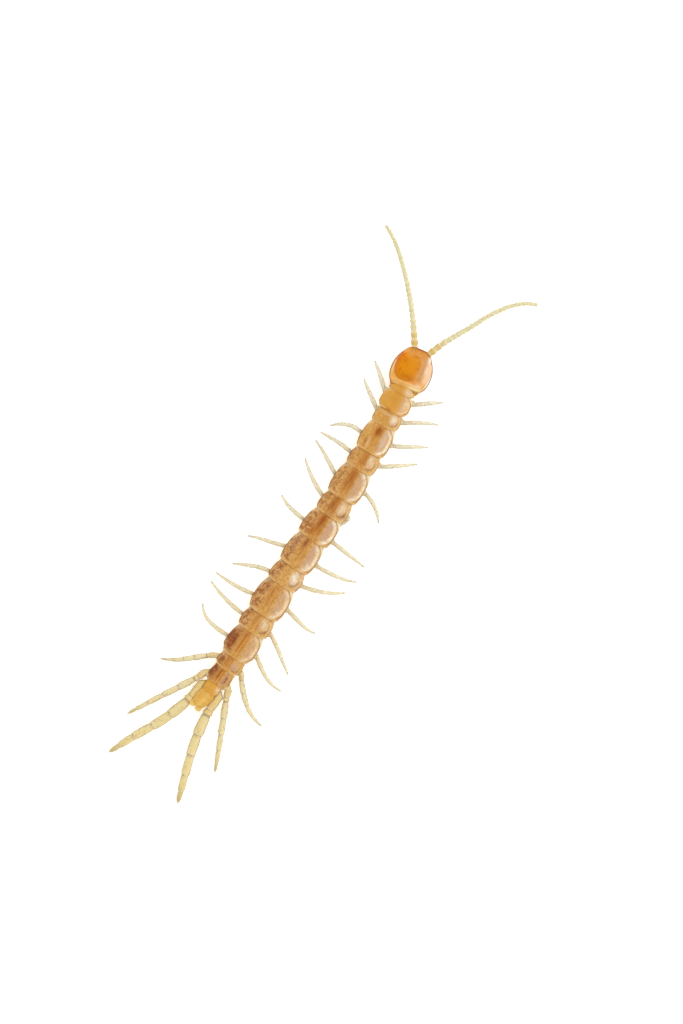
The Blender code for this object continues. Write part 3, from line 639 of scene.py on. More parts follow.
# Each finish's edge colour is painted shade on its steep sides
FINISHES = {
    # Sclerotised head capsule, moulted and hardened in one piece: clear amber over orange muscle, with
    # painted highlights on its right side
    "head": Cuticle(
        "amber_sclerotised_head_cuticle", "#F4B45C", "#ECA84C",
        (
            Layer("front", "#D48A34", 0.90, Breakup.GRAIN),
            Layer("mauve", "#BC8A60", 0.85, Breakup.GRAIN),
            # Painted highlights on the right side: a pale band and cream spots
            Layer("pale", "#FADCC0", 0.95),
            Layer("cream", "#F4E6CC", 0.95),
            Layer("dome", "#E08E00", 1.0),
            Layer("deep", "#BE6A00", 0.85, Breakup.CLOUD),
            Layer("red", "#DA5A0C", 0.95, Breakup.CLOUD),
            Layer("crescent", "#FBF0DA", 1.0),
            Layer("band", "#F7DA9E", 0.92),
            Layer("line", "#9A5420", 0.90),
            Layer("rim", "#74441A", 0.90),
        ),
        roughness=(0.26, 0.38), specular=0.14,
    ),
    # Sclerotised back plates: thin tan chitin, through which the gut and the fat body's mottles show, with a
    # painted highlight on their right side
    "plate": Cuticle(
        "tan_sclerotised_back_plate_cuticle", "#E1B26A", "#C79148",
        (
            Layer("golden", "#DFA23E", 0.9),
            Layer("gut", "#AE6002", 0.98, Breakup.STREAK),
            Layer("gut_line", "#E2AC58", 0.80),
            Layer("mottle", "#A0602E", 0.92, Breakup.MOTTLE),
            Layer("fleck", "#EBC294", 0.62, Breakup.FLECK),
            Layer("mauve", "#C6A28E", 0.92, Breakup.CLOUD),
            Layer("dark", "#843402", 1.0, Breakup.GRAIN),
            # Painted highlight along the right side of each plate
            Layer("pale", "#FAEBD2", 1.0, Breakup.CLOUD),
            Layer("corner", "#F2E2BC", 0.90),
            Layer("band", "#E2B678", 0.70),
            Layer("rim", "#744A1E", 0.95),
        ),
        specular=0.16, blotch=0.055,
    ),
    # Belly plates of the same thin chitin, paler, as little of the gut reaches them
    "belly": Cuticle(
        "pale_sclerotised_belly_plate_cuticle", "#DDB676", "#D0A260",
        (Layer("gut", "#AE6C2C", 0.6, Breakup.STREAK), Layer("rim", "#8C6430", 0.75)),
    ),
    # Soft arthrodial membrane: unhardened chitin in fine pleats, nearly clear
    "skin": Cuticle(
        "soft_arthrodial_membrane", "#E6CDA2", "#DABB88",
        (Layer("mottle", "#9C6238", 0.55, Breakup.MOTTLE), Layer("gut", "#B4742E", 0.8)),
        edge="#C9A26A", side_shade_amount=0.35, roughness=(0.40, 0.55), subsurface=0.45, relief=0.003,
    ),
    # Leg chitin: thin clear tubes, with painted olive shade on their steep sides
    "leg": Cuticle(
        "straw_leg_cuticle", "#EEE8D0", "#E4DCC0",
        (
            Layer("hind", "#EAD695", 0.95),
            Layer("hip", "#E6C276", 0.75),
            Layer("joint", "#FCF5E0", 0.80, over_edge=True),
            Layer("ring", "#8A5A26", 0.80),
            Layer("claw", "#8E7C44", 0.85),
        ),
        edge="#82713A", side_shade_amount=1.0, side_shade_reach=0.74, roughness=(0.34, 0.46), subsurface=0.40,
        blotch=0.06, specular=0.16,
    ),
    # Antennal chitin: straw-yellow articles with clear rings between them
    "antenna": Cuticle(
        "straw_antennal_cuticle", "#E9E1B8", "#E0D6A6",
        (Layer("warm", "#E0BC64", 0.85), Layer("joint", "#FAF0CC", 0.80, over_edge=True)),
        edge="#9C8A48", side_shade_amount=0.78, roughness=(0.36, 0.48), subsurface=0.35, blotch=0.05,
        specular=0.16,
    ),
    # Poison claws: thick hard chitin, amber at the root and almost black at the points
    "claw": Cuticle(
        "hard_poison_claw_cuticle", "#E3B252", "#D99E3E",
        (Layer("joint", "#A8681E", 0.7), Layer("tip", "#4A1E08", 1.0)),
        edge="#A06A28", side_shade_amount=0.45, roughness=(0.20, 0.30), subsurface=0.20,
    ),
    # End of the body: yellow soft chitin, lighter in the middle
    "end": Cuticle(
        "yellow_end_cuticle", "#E3B458", "#DBA646",
        (Layer("pale", "#EECB6E", 0.8), Layer("rim", "#B08038", 0.6)),
        edge="#B98A3C", side_shade_amount=0.45,
    ),
    # Eye lenses: smooth clear chitin over brown pigment
    "lens": Cuticle(
        "brown_pigmented_lens", "#5A2A0C", "#6E3610", roughness=(0.08, 0.14), subsurface=0.0, relief=0.0002,
        specular=0.5,
    ),
    # Bristles: solid golden chitin threads
    "bristle": Cuticle(
        "golden_bristle_chitin", "#A88446", "#977236", roughness=(0.35, 0.45), subsurface=0.0, relief=0.0002,
    ),
}


def read_between(values: tuple[float, ...], share: float) -> float:
    """Read a value from evenly spaced values.

    Args:
        values: The values.
        share: The share of the way through them.

    Returns:
        The value there.
    """
    place = min(max(share, 0.0), 1.0) * (len(values) - 1)
    first = min(int(place), len(values) - 2)
    return values[first] + (values[first + 1] - values[first]) * (place - first)


def read_curve(knots: Rows, where: float, column: int = 1) -> float:
    """Read a smooth curve through knots.

    Args:
        knots: Rows that start with their place, in rising order.
        where: The place to read at.
        column: Which value of a row to read.

    Returns:
        The value on a curve that eases through the knots.
    """
    last = len(knots) - 1
    index = 0
    while index < last - 1 and where > knots[index + 1][0]:
        index += 1
    near, far = knots[index], knots[index + 1]
    before, after = knots[max(index - 1, 0)], knots[min(index + 2, last)]
    span = far[0] - near[0]
    part = min(max((where - near[0]) / span, 0.0), 1.0)
    start_slope = (far[column] - before[column]) / max(far[0] - before[0], 1e-9) * span
    end_slope = (after[column] - near[column]) / max(after[0] - near[0], 1e-9) * span
    square, cube = part * part, part**3
    return (
        near[column] * (2 * cube - 3 * square + 1)
        + start_slope * (cube - 2 * square + part)
        + far[column] * (3 * square - 2 * cube)
        + end_slope * (cube - square)
    )


def ease(low: float, high: float, value: float) -> float:
    """Rise smoothly from 0 at low to 1 at high."""
    part = min(max((value - low) / (high - low), 0.0), 1.0)
    return part * part * (3.0 - 2.0 * part)


def fade(low: float, high: float, value: float) -> float:
    """Fall smoothly from 1 at low to 0 at high."""
    return 1.0 - ease(low, high, value)


def bell(value: float, middle: float, width: float, power: float = 2.0) -> float:
    """Return a bell that is 1 at its middle and falls off over its width."""
    return math.exp(-(abs((value - middle) / width) ** power))


def ridges(value: float, rows: Rows) -> float:
    """Add up ridges and grooves, each row one's height, middle and width."""
    return sum(height * bell(value, middle, width) for height, middle, width in rows)


def reach_in(oval: tuple[float, ...], side: float, along: float) -> float:
    """Return how far out a point lies in an oval, 1 at its edge, from its middle, half sizes and power."""
    middle, place, wide, long, power = oval
    return (abs((side - middle) / wide) ** power + abs((along - place) / long) ** power) ** (1 / power)


def lean(side: float, number: int = 0) -> float:
    """Return how narrow a flank shows, on a back plate by its segment's number."""
    return 1.0 if side > 0.0 else REAR_RIGHT_LEAN if number >= STOUT_FROM else RIGHT_LEAN


def blend(near: float, far: float, share: float) -> float:
    """Go from one value to another by a share."""
    return near * (1.0 - share) + far * share


def squarish(value: float, power: float) -> float:
    """Push a sine or cosine outwards, for the section of a rounded square."""
    return math.copysign(abs(value) ** power, value)


def shares(count: int) -> list[float]:
    """Return evenly spaced shares from 0 to 1."""
    return [step / count for step in range(count + 1)]


def turns(count: int) -> list[float]:
    """Return the angles of evenly spaced points round a ring."""
    return [math.tau * (step + 0.5) / count for step in range(count)]


def swing(hand: int, degrees: float) -> Vector:
    """Return the flat way that leaves the body at these degrees forward of straight out."""
    turn = math.radians(degrees)
    return Vector((hand * math.cos(turn), -math.sin(turn), 0.0))


def swing_path(
    start: Vector, swings: tuple[float, ...], length: float, hand: int, steps: int
) -> list[Vector]:
    """Lay flat points along a path that leaves the body.

    Args:
        start: Where the path starts.
        swings: The path's degrees forward of straight out, evenly spaced along it.
        length: The path's length.
        hand: 1 on the left, -1 on the right.
        steps: How many steps it takes.

    Returns:
        The points, one more than the steps.
    """
    points = [start.copy()]
    for step in range(steps):
        way = swing(hand, read_between(swings, (step + 0.5) / steps))
        points.append(points[-1] + way * (length / steps))
    return points


def lay_patches(values: Fields, patches: dict[str, Rows], side: float, along: float) -> None:
    """Raise each field to the strongest of its patches at a point.

    Args:
        values: The fields to raise.
        patches: Rows of middle, place, width, length and amount, by field.
        side: The point's place across.
        along: The point's place along.
    """
    for layer, rows in patches.items():
        for middle, place, wide, long, amount in rows:
            spot = amount * bell(side, middle, wide) * bell(along, place, long)
            values[layer] = max(values[layer], spot)


def link(name: str, data: bpy.types.ID) -> Item:
    """Make an object of some data and link it to the scene.

    Args:
        name: The object's name.
        data: Its mesh, light or camera.

    Returns:
        The object.
    """
    item = bpy.data.objects.new(name, data)
    bpy.context.collection.objects.link(item)
    return item


def store(mesh: bpy.types.Mesh, name: str, vectors: list[Vector]) -> None:
    """Store a vector on each point of a mesh."""
    data = mesh.attributes.new(name, "FLOAT_VECTOR", "POINT").data
    data.foreach_set("vector", [part for vector in vectors for part in vector])


class Place:
    """A piece's own axes in plan: side to the animal's left and along towards its tail."""

    def __init__(self, origin: tuple[float, float] | Vector, heading: float) -> None:
        """Set the axes.

        Args:
            origin: Where they start.
            heading: Degrees that the tail's way turns to the animal's left.
        """
        turn = math.radians(heading)
        self.origin = Vector((origin[0], origin[1], 0.0))
        self.side = Vector((math.cos(turn), -math.sin(turn), 0.0))
        self.along = Vector((math.sin(turn), math.cos(turn), 0.0))

    def at(self, side: float, along: float, up: float) -> Vector:
        """Return the point at these distances along the piece's own axes."""
        return self.origin + self.side * side + self.along * along + UP * up


@dataclass
class Route:
    """A fine path in millimetres that tubes and articles follow."""

    points: list[Vector]
    lengths: list[float] = field(default_factory=list)

    def __post_init__(self) -> None:
        """Measure the path."""
        self.lengths = [0.0]
        for near, far in zip(self.points, self.points[1:]):
            self.lengths.append(self.lengths[-1] + (far - near).length)

    @property
    def total(self) -> float:
        """Return the path's whole length."""
        return self.lengths[-1]

    def at(self, distance: float) -> Vector:
        """Find the point at a distance from the start.

        Args:
            distance: The distance along the path.

        Returns:
            The point.
        """
        distance = min(max(distance, 0.0), self.total)
        index = 0
        while index < len(self.lengths) - 2 and self.lengths[index + 1] < distance:
            index += 1
        span = max(self.lengths[index + 1] - self.lengths[index], 1e-9)
        return self.points[index].lerp(self.points[index + 1], (distance - self.lengths[index]) / span)

    def run(self, distance: float, reach: float = 0.02) -> Vector:
        """Return the path's direction at a distance from the start."""
        return (self.at(distance + reach) - self.at(distance - reach)).normalized()

    def tube(
        self, stations: list[Station], sides: int, reach: float = 0.02, floor: float = -1.0
    ) -> list[Ring]:
        """Return rings of points along the path, each square to it.

        Args:
            stations: For each ring its distance from the start, its radius and its fields.
            sides: Points in a ring.
            reach: How far on either side the path's direction is read.
            floor: No point lies below this height.

        Returns:
            The rings, for Shape.add_rings.
        """
        rings = []
        for distance, radius, fields in stations:
            centre, run = self.at(distance), self.run(distance, reach)
            across = run.cross(UP).normalized()
            up = across.cross(run)
            ring = []
            for turn in turns(sides):
                spot = centre + across * (radius * math.cos(turn)) + up * (radius * math.sin(turn))
                spot.z = max(spot.z, floor)
                ring.append((spot, fields))
            rings.append(ring)
        return rings


class Shape:
    """Points in millimetres with faces, named fields and leans, gathered into one mesh."""

    def __init__(self, rings: list[Ring] | None = None, runs: list[Vector] | None = None) -> None:
        """Start with nothing, or with one tube.

        Args:
            rings: The tube's rings.
            runs: For each ring, the way that its bristles lean.
        """
        self.spots: Ring = []
        self.faces: list[tuple[int, ...]] = []
        self.runs: list[Vector] = []
        if rings:
            self.add_rings(rings, runs)

    def add_rings(self, rings: list[Ring], runs: list[Vector] | None = None) -> None:
        """Add a closed tube over rings with equally many points, an even number.

        Args:
            rings: The rings from one end to the other, each point with its fields.
            runs: For each ring, the way that its bristles lean.
        """
        count = len(rings[0])
        first = len(self.spots)
        last = first + (len(rings) - 1) * count
        for row, ring in enumerate(rings):
            self.spots += ring
            self.runs += [runs[row] if runs else Vector((0.0, 0.0, 0.0))] * count
        for low in range(first, last, count):
            high = low + count
            for index in range(count):
                after = (index + 1) % count
                self.faces.append((low + index, low + after, high + after, high + index))
        for base in (first, last):
            for index in range(count // 2 - 1):
                far = count - 1 - index
                self.faces.append((base + index, base + index + 1, base + far - 1, base + far))

    def make(self, name: str, finish: bpy.types.Material | None = None, sharp: float = 60.0) -> Item:
        """Make the mesh object in metres.

        Args:
            name: The object's name.
            finish: Its material, which a unit piece does without.
            sharp: Edges steeper than this many degrees stay sharp.

        Returns:
            The object, at the origin, with its faces outwards and its fields as attributes.
        """
        mesh = bpy.data.meshes.new(name)
        mesh.from_pydata([point * MM for point, _ in self.spots], [], self.faces)
        for label in dict.fromkeys(label for _, values in self.spots for label in values):
            values = [values.get(label, 0.0) for _, values in self.spots]
            mesh.attributes.new(label, "FLOAT", "POINT").data.foreach_set("value", values)
        store(mesh, "run", self.runs)
        body = bmesh.new()
        body.from_mesh(mesh)
        bmesh.ops.remove_doubles(body, verts=body.verts, dist=1e-8)
        bmesh.ops.recalc_face_normals(body, faces=body.faces)
        body.to_mesh(mesh)
        body.free()
        mesh.shade_smooth()
        mesh.set_sharp_from_angle(angle=math.radians(sharp))
        if finish:
            mesh.materials.append(finish)
        return link(name, mesh)


def turn_unit(name: str, sides: int, profile: Rows) -> Item:
    """Make a unit piece by turning its profile round +Z.

    Args:
        name: The piece's name.
        sides: How many sides it has.
        profile: Rows of height, radius and the dark field.

    Returns:
        The piece.
    """
    rings = []
    for height, radius, joint in profile:
        spots = [Vector((radius * math.cos(turn), radius * math.sin(turn), height)) for turn in turns(sides)]
        rings.append([(spot / MM, {"joint": joint}) for spot in spots])
    return Shape(rings).make(name)


def new_tree(name: str, inputs: dict[str, str]) -> tuple[Tree, dict[str, Socket]]:
    """Start a Geometry Nodes tree.

    Args:
        name: The tree's name.
        inputs: The socket type of each input after the geometry, by its name.

    Returns:
        The tree and the sockets that give its inputs.
    """
    tree = bpy.data.node_groups.new(name, "GeometryNodeTree")
    tree.interface.new_socket("Geometry", in_out="OUTPUT", socket_type="NodeSocketGeometry")
    for label, kind in {"Geometry": "Geometry", **inputs}.items():
        tree.interface.new_socket(label, in_out="INPUT", socket_type=f"NodeSocket{kind}")
    return tree, add_node(tree, "NodeGroupInput", {}, {}).outputs


def finish_tree(
    tree: Tree, given: dict[str, Socket], way: Socket, size: Socket, spots: dict[str, Socket]
) -> Tree:
    """End a tree by setting its unit piece on spots, realizing the copies and giving them their finish.

    Args:
        tree: The tree.
        given: Its inputs.
        way: Where each copy's own +Z points.
        size: Each copy's scale.
        spots: The points, and which of them are used.

    Returns:
        The same tree.
    """
    turn = add_node(tree, "FunctionNodeAlignRotationToVector", {"axis": "Z"}, {"Vector": way}).outputs[0]
    unit = add_node(tree, "GeometryNodeObjectInfo", {}, {"Object": given["Unit"]}).outputs["Geometry"]
    values = {**spots, "Instance": unit, "Rotation": turn, "Scale": size}
    copies = add_node(tree, "GeometryNodeInstanceOnPoints", {}, values).outputs[0]
    real = add_node(tree, "GeometryNodeRealizeInstances", {}, {"Geometry": copies}).outputs[0]
    values = {"Geometry": real, "Material": given["Finish"]}
    dressed = add_node(tree, "GeometryNodeSetMaterial", {}, values).outputs[0]
    add_node(tree, "NodeGroupOutput", {}, {"Geometry": dressed})
    return tree


def read_vector(tree: Tree, name: str) -> Socket:
    """Read a mesh's stored vectors.

    Args:
        tree: The tree to read them in.
        name: The name they are stored under.

    Returns:
        Their socket.
    """
    return add_node(
        tree, "GeometryNodeInputNamedAttribute", {"data_type": "FLOAT_VECTOR"}, {"Name": name}
    ).outputs[0]


def build_string_tree() -> Tree:
    """Build the tree that repeats one piece at points with their own axis and size.

    Returns:
        The tree.
    """
    tree, given = new_tree("repeat_on_spots", {"Unit": "Object", "Finish": "Material"})
    spots = {"Points": given["Geometry"]}
    return finish_tree(tree, given, read_vector(tree, "axis"), read_vector(tree, "size"), spots)


def build_bristle_tree() -> Tree:
    """Build the tree that scatters leaning bristles over a surface, none near the floor.

    Returns:
        The tree.
    """
    inputs = {
        "Unit": "Object", "Finish": "Material", "Density": "Float", "Shortest": "Float", "Longest": "Float",
        "Seed": "Int",
    }
    tree, given = new_tree("scatter_bristles", inputs)
    values = {"Mesh": given["Geometry"], "Density": given["Density"], "Seed": given["Seed"]}
    settings = {"distribute_method": "RANDOM"}
    spots = add_node(tree, "GeometryNodeDistributePointsOnFaces", settings, values).outputs
    upright = {0: spots["Normal"], 3: BRISTLE_RISE}
    rise = add_node(tree, "ShaderNodeVectorMath", {"operation": "SCALE"}, upright).outputs[0]
    values = {0: rise, 1: read_vector(tree, "run")}
    way = add_node(tree, "ShaderNodeVectorMath", {"operation": "ADD"}, values).outputs[0]
    values = {2: given["Shortest"], 3: given["Longest"], "Seed": given["Seed"]}
    length = add_node(tree, "FunctionNodeRandomValue", {"data_type": "FLOAT"}, values).outputs[1]
    where = add_node(tree, "GeometryNodeInputPosition", {}, {}).outputs[0]
    values = {0: add_node(tree, "ShaderNodeSeparateXYZ", {}, {0: where}).outputs["Z"], 1: BRISTLE_FLOOR * MM}
    clear = add_node(tree, "FunctionNodeCompare", {"operation": "GREATER_THAN"}, values).outputs[0]
    return finish_tree(tree, given, way, length, {"Points": spots["Points"], "Selection": clear})


@dataclass(frozen=True)
class Copy:
    """Where one copy of a unit piece goes, the way its own +Z points, its size, and its warm field."""

    spot: Vector
    way: Vector
    size: tuple[float, float, float]
    warm: float = 0.0


@dataclass(frozen=True)
class Workshop:
    """What every sub-assembly needs: finishes, unit pieces and the two Geometry Nodes trees."""

    finishes: dict[str, bpy.types.Material]
    units: dict[str, Item]
    string_tree: Tree
    bristle_tree: Tree

    def enter(self, piece: Item, slot: str, *nodes: str) -> Item:
        """Parent a finished piece to the root empty, hide the solids that it stands for and log its faces.

        Args:
            piece: The piece, in place.
            slot: Not used.
            nodes: The solids that it stands for.

        Returns:
            The same piece.
        """
        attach(piece, "root")
        if nodes:
            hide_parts(*nodes)
        LOG.info("%s: %d faces", piece.name, len(piece.data.polygons))
        return piece

    def make(self, shape: Shape, name: str, finish: str, slot: str, *nodes: str, sharp: float = 60.0) -> Item:
        """Make a shape's piece in a finish and enter it.

        Args:
            shape: The shape.
            name: The piece's name.
            finish: The finish's name.
            slot: Passed on to enter, which does not use it.
            nodes: The nodes that the piece stands for.
            sharp: Edges steeper than this many degrees stay sharp.

        Returns:
            The piece.
        """
        return self.enter(shape.make(name, self.finishes[finish], sharp), slot, *nodes)

    def apply_tree(self, base: Item, tree: Tree, name: str, inputs: dict[str, object]) -> Item:
        """Run a Geometry Nodes tree on an object and keep the result as a plain mesh.

        Args:
            base: The object that the tree starts from.
            tree: The tree.
            name: The new object's name.
            inputs: The tree's named inputs.

        Returns:
            A new object with the realized mesh.
        """
        modifier = base.modifiers.new(name, "NODES")
        modifier.node_group = tree
        items = tree.interface.items_tree
        sockets = {item.name: item.identifier for item in items if item.in_out == "INPUT"}
        for label, value in inputs.items():
            modifier[sockets[label]] = value
        bpy.context.view_layer.update()
        shown = base.evaluated_get(bpy.context.evaluated_depsgraph_get())
        mesh = bpy.data.meshes.new_from_object(shown)
        mesh.name = name
        base.modifiers.remove(modifier)
        mesh.shade_smooth()
        return link(name, mesh)

    def string(self, name: str, copies: list[Copy], unit: str, finish: str, slot: str, *nodes: str) -> Item:
        """Repeat one unit piece, join its copies and enter them.

        Args:
            name: The new object's name.
            copies: The copies.
            unit: The unit piece's name.
            finish: The finish's name.
            slot: Passed on to enter, which does not use it.
            nodes: The solids that it stands for.

        Returns:
            The joined copies.
        """
        mesh = bpy.data.meshes.new(name + "_spots")
        mesh.from_pydata([copy.spot * MM for copy in copies], [], [])
        store(mesh, "axis", [copy.way for copy in copies])
        store(mesh, "size", [Vector(copy.size) * MM for copy in copies])
        warm = mesh.attributes.new("warm", "FLOAT", "POINT").data
        warm.foreach_set("value", [copy.warm for copy in copies])
        base = link(name + "_spots", mesh)
        inputs = {"Unit": self.units[unit], "Finish": self.finishes[finish]}
        item = self.apply_tree(base, self.string_tree, name, inputs)
        bpy.data.objects.remove(base, do_unlink=True)
        return self.enter(item, slot, *nodes)

    def bristles(self, base: Item, name: str, slot: str, kind: str, seed: int) -> None:
        """Set short bristles over a surface.

        Args:
            base: The piece that bears them.
            name: The new object's name.
            slot: Passed on to enter, which does not use it.
            kind: What bears them, as BRISTLES has it.
            seed: Seed of their scatter.
        """
        per_square, length = BRISTLES[kind]
        inputs = {
            "Unit": self.units["bristle"],
            "Finish": self.finishes["bristle"],
            "Density": per_square / (MM * MM),
            "Shortest": length * 0.65 * MM,
            "Longest": length * 1.35 * MM,
            "Seed": seed,
        }
        self.enter(self.apply_tree(base, self.bristle_tree, name, inputs), slot)


@dataclass
class Head:
    """The head capsule, its eyes, mouthparts and antennae."""

    shop: Workshop
    place: Place = field(default_factory=lambda: Place(HEAD_BACK, HEAD_HEADING))

    def spot(self, turn: float, ahead: float, hand: int) -> tuple[Vector, float]:
        """Return a point of the capsule and its distance from the midline as a share of the half width.

        Args:
            turn: Place on the half section, 0 at the crown and 11 at the middle of the underside.
            ahead: Share of the head's length from its back edge.
            hand: 1 on the left and -1 on the right.

        Returns:
            The point and that share.
        """
        side, up = (
            read_curve(HEAD_SECTION, turn, column) * read_curve(HEAD_PLAN, ahead, column) for column in (1, 2)
        )
        up = HEAD_UNDERSIDE + HEAD_DEPTH * up
        if turn < HEAD_EDGE:
            up += ridges(1.0 - turn / HEAD_EDGE, HEAD_RIM_RIDGES) + ridges(ahead, HEAD_BACK_RIDGES)
            up += ridges(ahead + SUTURE_CURVE * side * side, HEAD_SUTURE)
            up += ridges(side, HEAD_NOTCH) * ease(0.84, 0.95, ahead)
        return self.place.at(hand * side * HEAD_HALF_WIDTH, -ahead * HEAD_STRETCH, up), side

    def colours(self, side: float, ahead: float, upper: float, edge: float) -> Fields:
        """Return the capsule's fields at a point.

        Args:
            side: Share of the half width, positive on the left.
            ahead: Share of the head's length from its back edge.
            upper: 1 on the crown side and 0 below the rim.
            edge: 1 at the rim.

        Returns:
            The fields.
        """
        reach = reach_in(HEAD_DOME, side, ahead)
        inside = fade(0.955, 1.015, reach) * ease(-0.52 + 0.10 * math.sin(9.0 * ahead), -0.06, side)
        outline = bell(reach, 1.0, 0.028) * upper
        left = ease(0.35, 0.6, side)
        rear = fade(0.16, 0.30, ahead)
        right = -0.675 - 0.235 * math.sin(math.pi * min(max((ahead - 0.03) / 0.95, 0.0), 1.0)) ** 0.8
        beyond = upper * fade(right - 0.02, right + 0.02, side)
        ends = ease(0.16, 0.32, ahead) * fade(0.80, 0.95, ahead)
        deep = max(left, rear * ease(-0.4, -0.1, side)) * fade(0.60, 0.75, ahead)
        line = max(left, rear * ease(-0.5, -0.2, side)) * fade(0.68, 0.80, ahead)
        band = 0.25 + 0.75 * ease(-0.2, 0.4, -side) - 0.55 * ease(0.62, 0.80, -side)
        red = left * ease(0.25, 0.45, ahead) * fade(0.70, 0.86, ahead)
        crescent = (1.0 - 0.55 * ease(0.50, 0.75, ahead)) * (0.15 + 0.85 * ease(0.08, 0.30, ahead))
        values = {
            "front": ease(0.72, 0.92, ahead) * fade(0.35, 0.85, abs(side)),
            "mauve": upper * bell(side, -0.46, 0.20) * ends,
            # Painted highlight: a pale band inside the right rim
            "pale": 0.68 * upper * bell(side, right + 0.12, 0.14, 3.0) * ends,
            "cream": 0.0,
            "dome": inside * (1.0 - 0.55 * ease(0.66, 0.88, ahead)),
            "deep": 0.60 * bell(reach, 0.93, 0.08) * deep,
            "red": 0.85 * bell(reach, 0.92, 0.08) * red,
            "crescent": beyond * crescent,
            "band": fade(0.10, 0.155, ahead) * band,
            "line": max(
                0.72 * outline * line,
                0.42 * bell(side, right, 0.020) * ease(-0.02, 0.10, ahead),
                0.40 * bell(ahead, 0.085 - 0.03 * side, 0.010),
            ),
        }
        lay_patches(values, HEAD_PATCHES, side, ahead)
        front = 0.95 * bell(ahead, 0.99, 0.03) * fade(0.3, 0.6, side)
        rim = max(edge, front, 0.55 * bell(ahead, 0.01, 0.014))
        return {**{name: value * upper for name, value in values.items()}, "rim": rim}

    def capsule(self) -> None:
        """Build the head capsule with its raised rim, its suture and its notch in front."""
        half = HEAD_SIDES // 2
        down = [HEAD_KEEL * (step + 0.5) / half for step in range(half)]
        rings = []
        for row in shares(HEAD_ROWS):
            ahead = 0.5 - 0.5 * math.cos(math.pi * row)
            ring = []
            for hand, order in ((1, down), (-1, down[::-1])):
                for turn in order:
                    spot, side = self.spot(turn, ahead, hand)
                    upper, rim = fade(HEAD_EDGE, 7.5, turn), bell(turn, 5.72, 0.60, 4.0)
                    ring.append((spot, self.colours(hand * side, ahead, upper, rim)))
            rings.append(ring)
        shape = Shape(rings, [-self.place.along * 0.8] * len(rings))
        self.shop.make(shape, "head_capsule", "head", "head_cuticle", "head")

    def eyes(self) -> None:
        """Set the ocelli in short rows on each side of the head, behind the antenna."""
        for side, hand in HANDS.items():
            way = (self.place.side * hand * 0.8 + UP * 0.85 - self.place.along * 0.3).normalized()
            copies = []
            for turn, ahead, size in OCELLI:
                spot, _ = self.spot(turn, ahead, hand)
                copies.append(Copy(spot - way * 0.004, way, (size, size, size * 0.8)))
            self.shop.string(f"eyes_{side}_ocelli", copies, "lens", "lens", "eye_lens", f"eyes_{side}")

    def antenna(self, side: str) -> None:
        """Build one antenna, a string of haired articles, and its socket.

        Args:
            side: Left or right.
        """
        hand = HANDS[side]
        start = self.place.at(ANTENNA_SOCKETS[side], -ANTENNA_REACH[side] - 0.02, 0.0)
        flat = swing_path(start, ANTENNA_SWINGS[side], ANTENNA_LENGTHS[side], hand, ANTENNA_STEPS)
        for index, point in enumerate(flat):
            point.z = read_between(ANTENNA_HEIGHTS, index / ANTENNA_STEPS)
        route = Route(flat)
        lengths = [1.05 - 0.4 * index / ANTENNA_ARTICLES for index in range(ANTENNA_ARTICLES)]
        lengths[:3] = [1.35] * 3
        lengths[-1] = 0.95
        scale = route.total / sum(lengths)
        copies = []
        done = 0.0
        for index, length in enumerate(share * scale for share in lengths):
            run = route.run(done + length * 0.5, length * 0.5)
            girth = read_between(ANTENNA_RADII, (done + length * 0.6) / route.total)
            if index == ANTENNA_ARTICLES - 1:
                girth *= 0.92
            size = (girth, girth, length * ARTICLE_OVERLAP)
            copies.append(Copy(route.at(done) - run * 0.004, run, size, fade(0.0, 3.0, index)))
            done += length
        name, slot = f"antenna_{side}", "antenna_cuticle"
        piece = self.shop.string(f"{name}_articles", copies, "article", "antenna", slot, name)
        self.lean_along(piece, route)
        self.shop.bristles(piece, f"{name}_bristles", slot, "antenna", ANTENNA_SEED + hand)
        run = route.run(0.0)
        root = SOCKET_PROFILE[0][0]
        core = Route([route.at(0.0) + run * along for along in (root, SOCKET_PROFILE[-1][0])])
        stations = [(along - root, radius, {"rim": rim}) for along, radius, rim in SOCKET_PROFILE]
        self.shop.make(Shape(core.tube(stations, 20)), f"{name}_socket", "head", "head_cuticle")

    def lean_along(self, piece: Item, route: Route) -> None:
        """Store on a piece the way that its bristles lean.

        Args:
            piece: The piece.
            route: The path that they lean along.
        """
        mesh = piece.data
        mesh.attributes.remove(mesh.attributes["run"])
        distances = [route.total * share for share in shares(LEAN_MARKS)]
        marks = [route.at(distance) * MM for distance in distances]
        leans = [route.run(distance) * 0.8 for distance in distances]
        nearest = []
        for vertex in mesh.vertices:
            nearest.append(min(range(len(marks)), key=lambda mark: (marks[mark] - vertex.co).length_squared))
        store(mesh, "run", [leans[mark] for mark in nearest])

    def mouthparts(self) -> None:
        """Build the two palps, the pads between them and the lip under the front of the head."""
        shape = Shape()
        for hand in HANDS.values():
            palp = Route([self.place.at(hand * side, -ahead, PALP_HEIGHT) for side, ahead in PALP_KNOTS])
            for start, end, radius in PALP_ARTICLES:
                self.add_article(shape, palp, start, end, radius)
            pad = Route([self.place.at(hand * side, -ahead, PAD_HEIGHT) for side, ahead in PAD_KNOTS])
            self.add_article(shape, pad, 0.0, 1.0, PAD_RADIUS)
        lip = Route([self.place.at(side, -ahead, LIP_HEIGHT) for side, ahead in LIP_KNOTS])
        self.add_article(shape, lip, 0.0, 1.0, LIP_RADIUS)
        self.shop.make(shape, "palps_and_lip", "claw", "head_cuticle", "mouthparts")

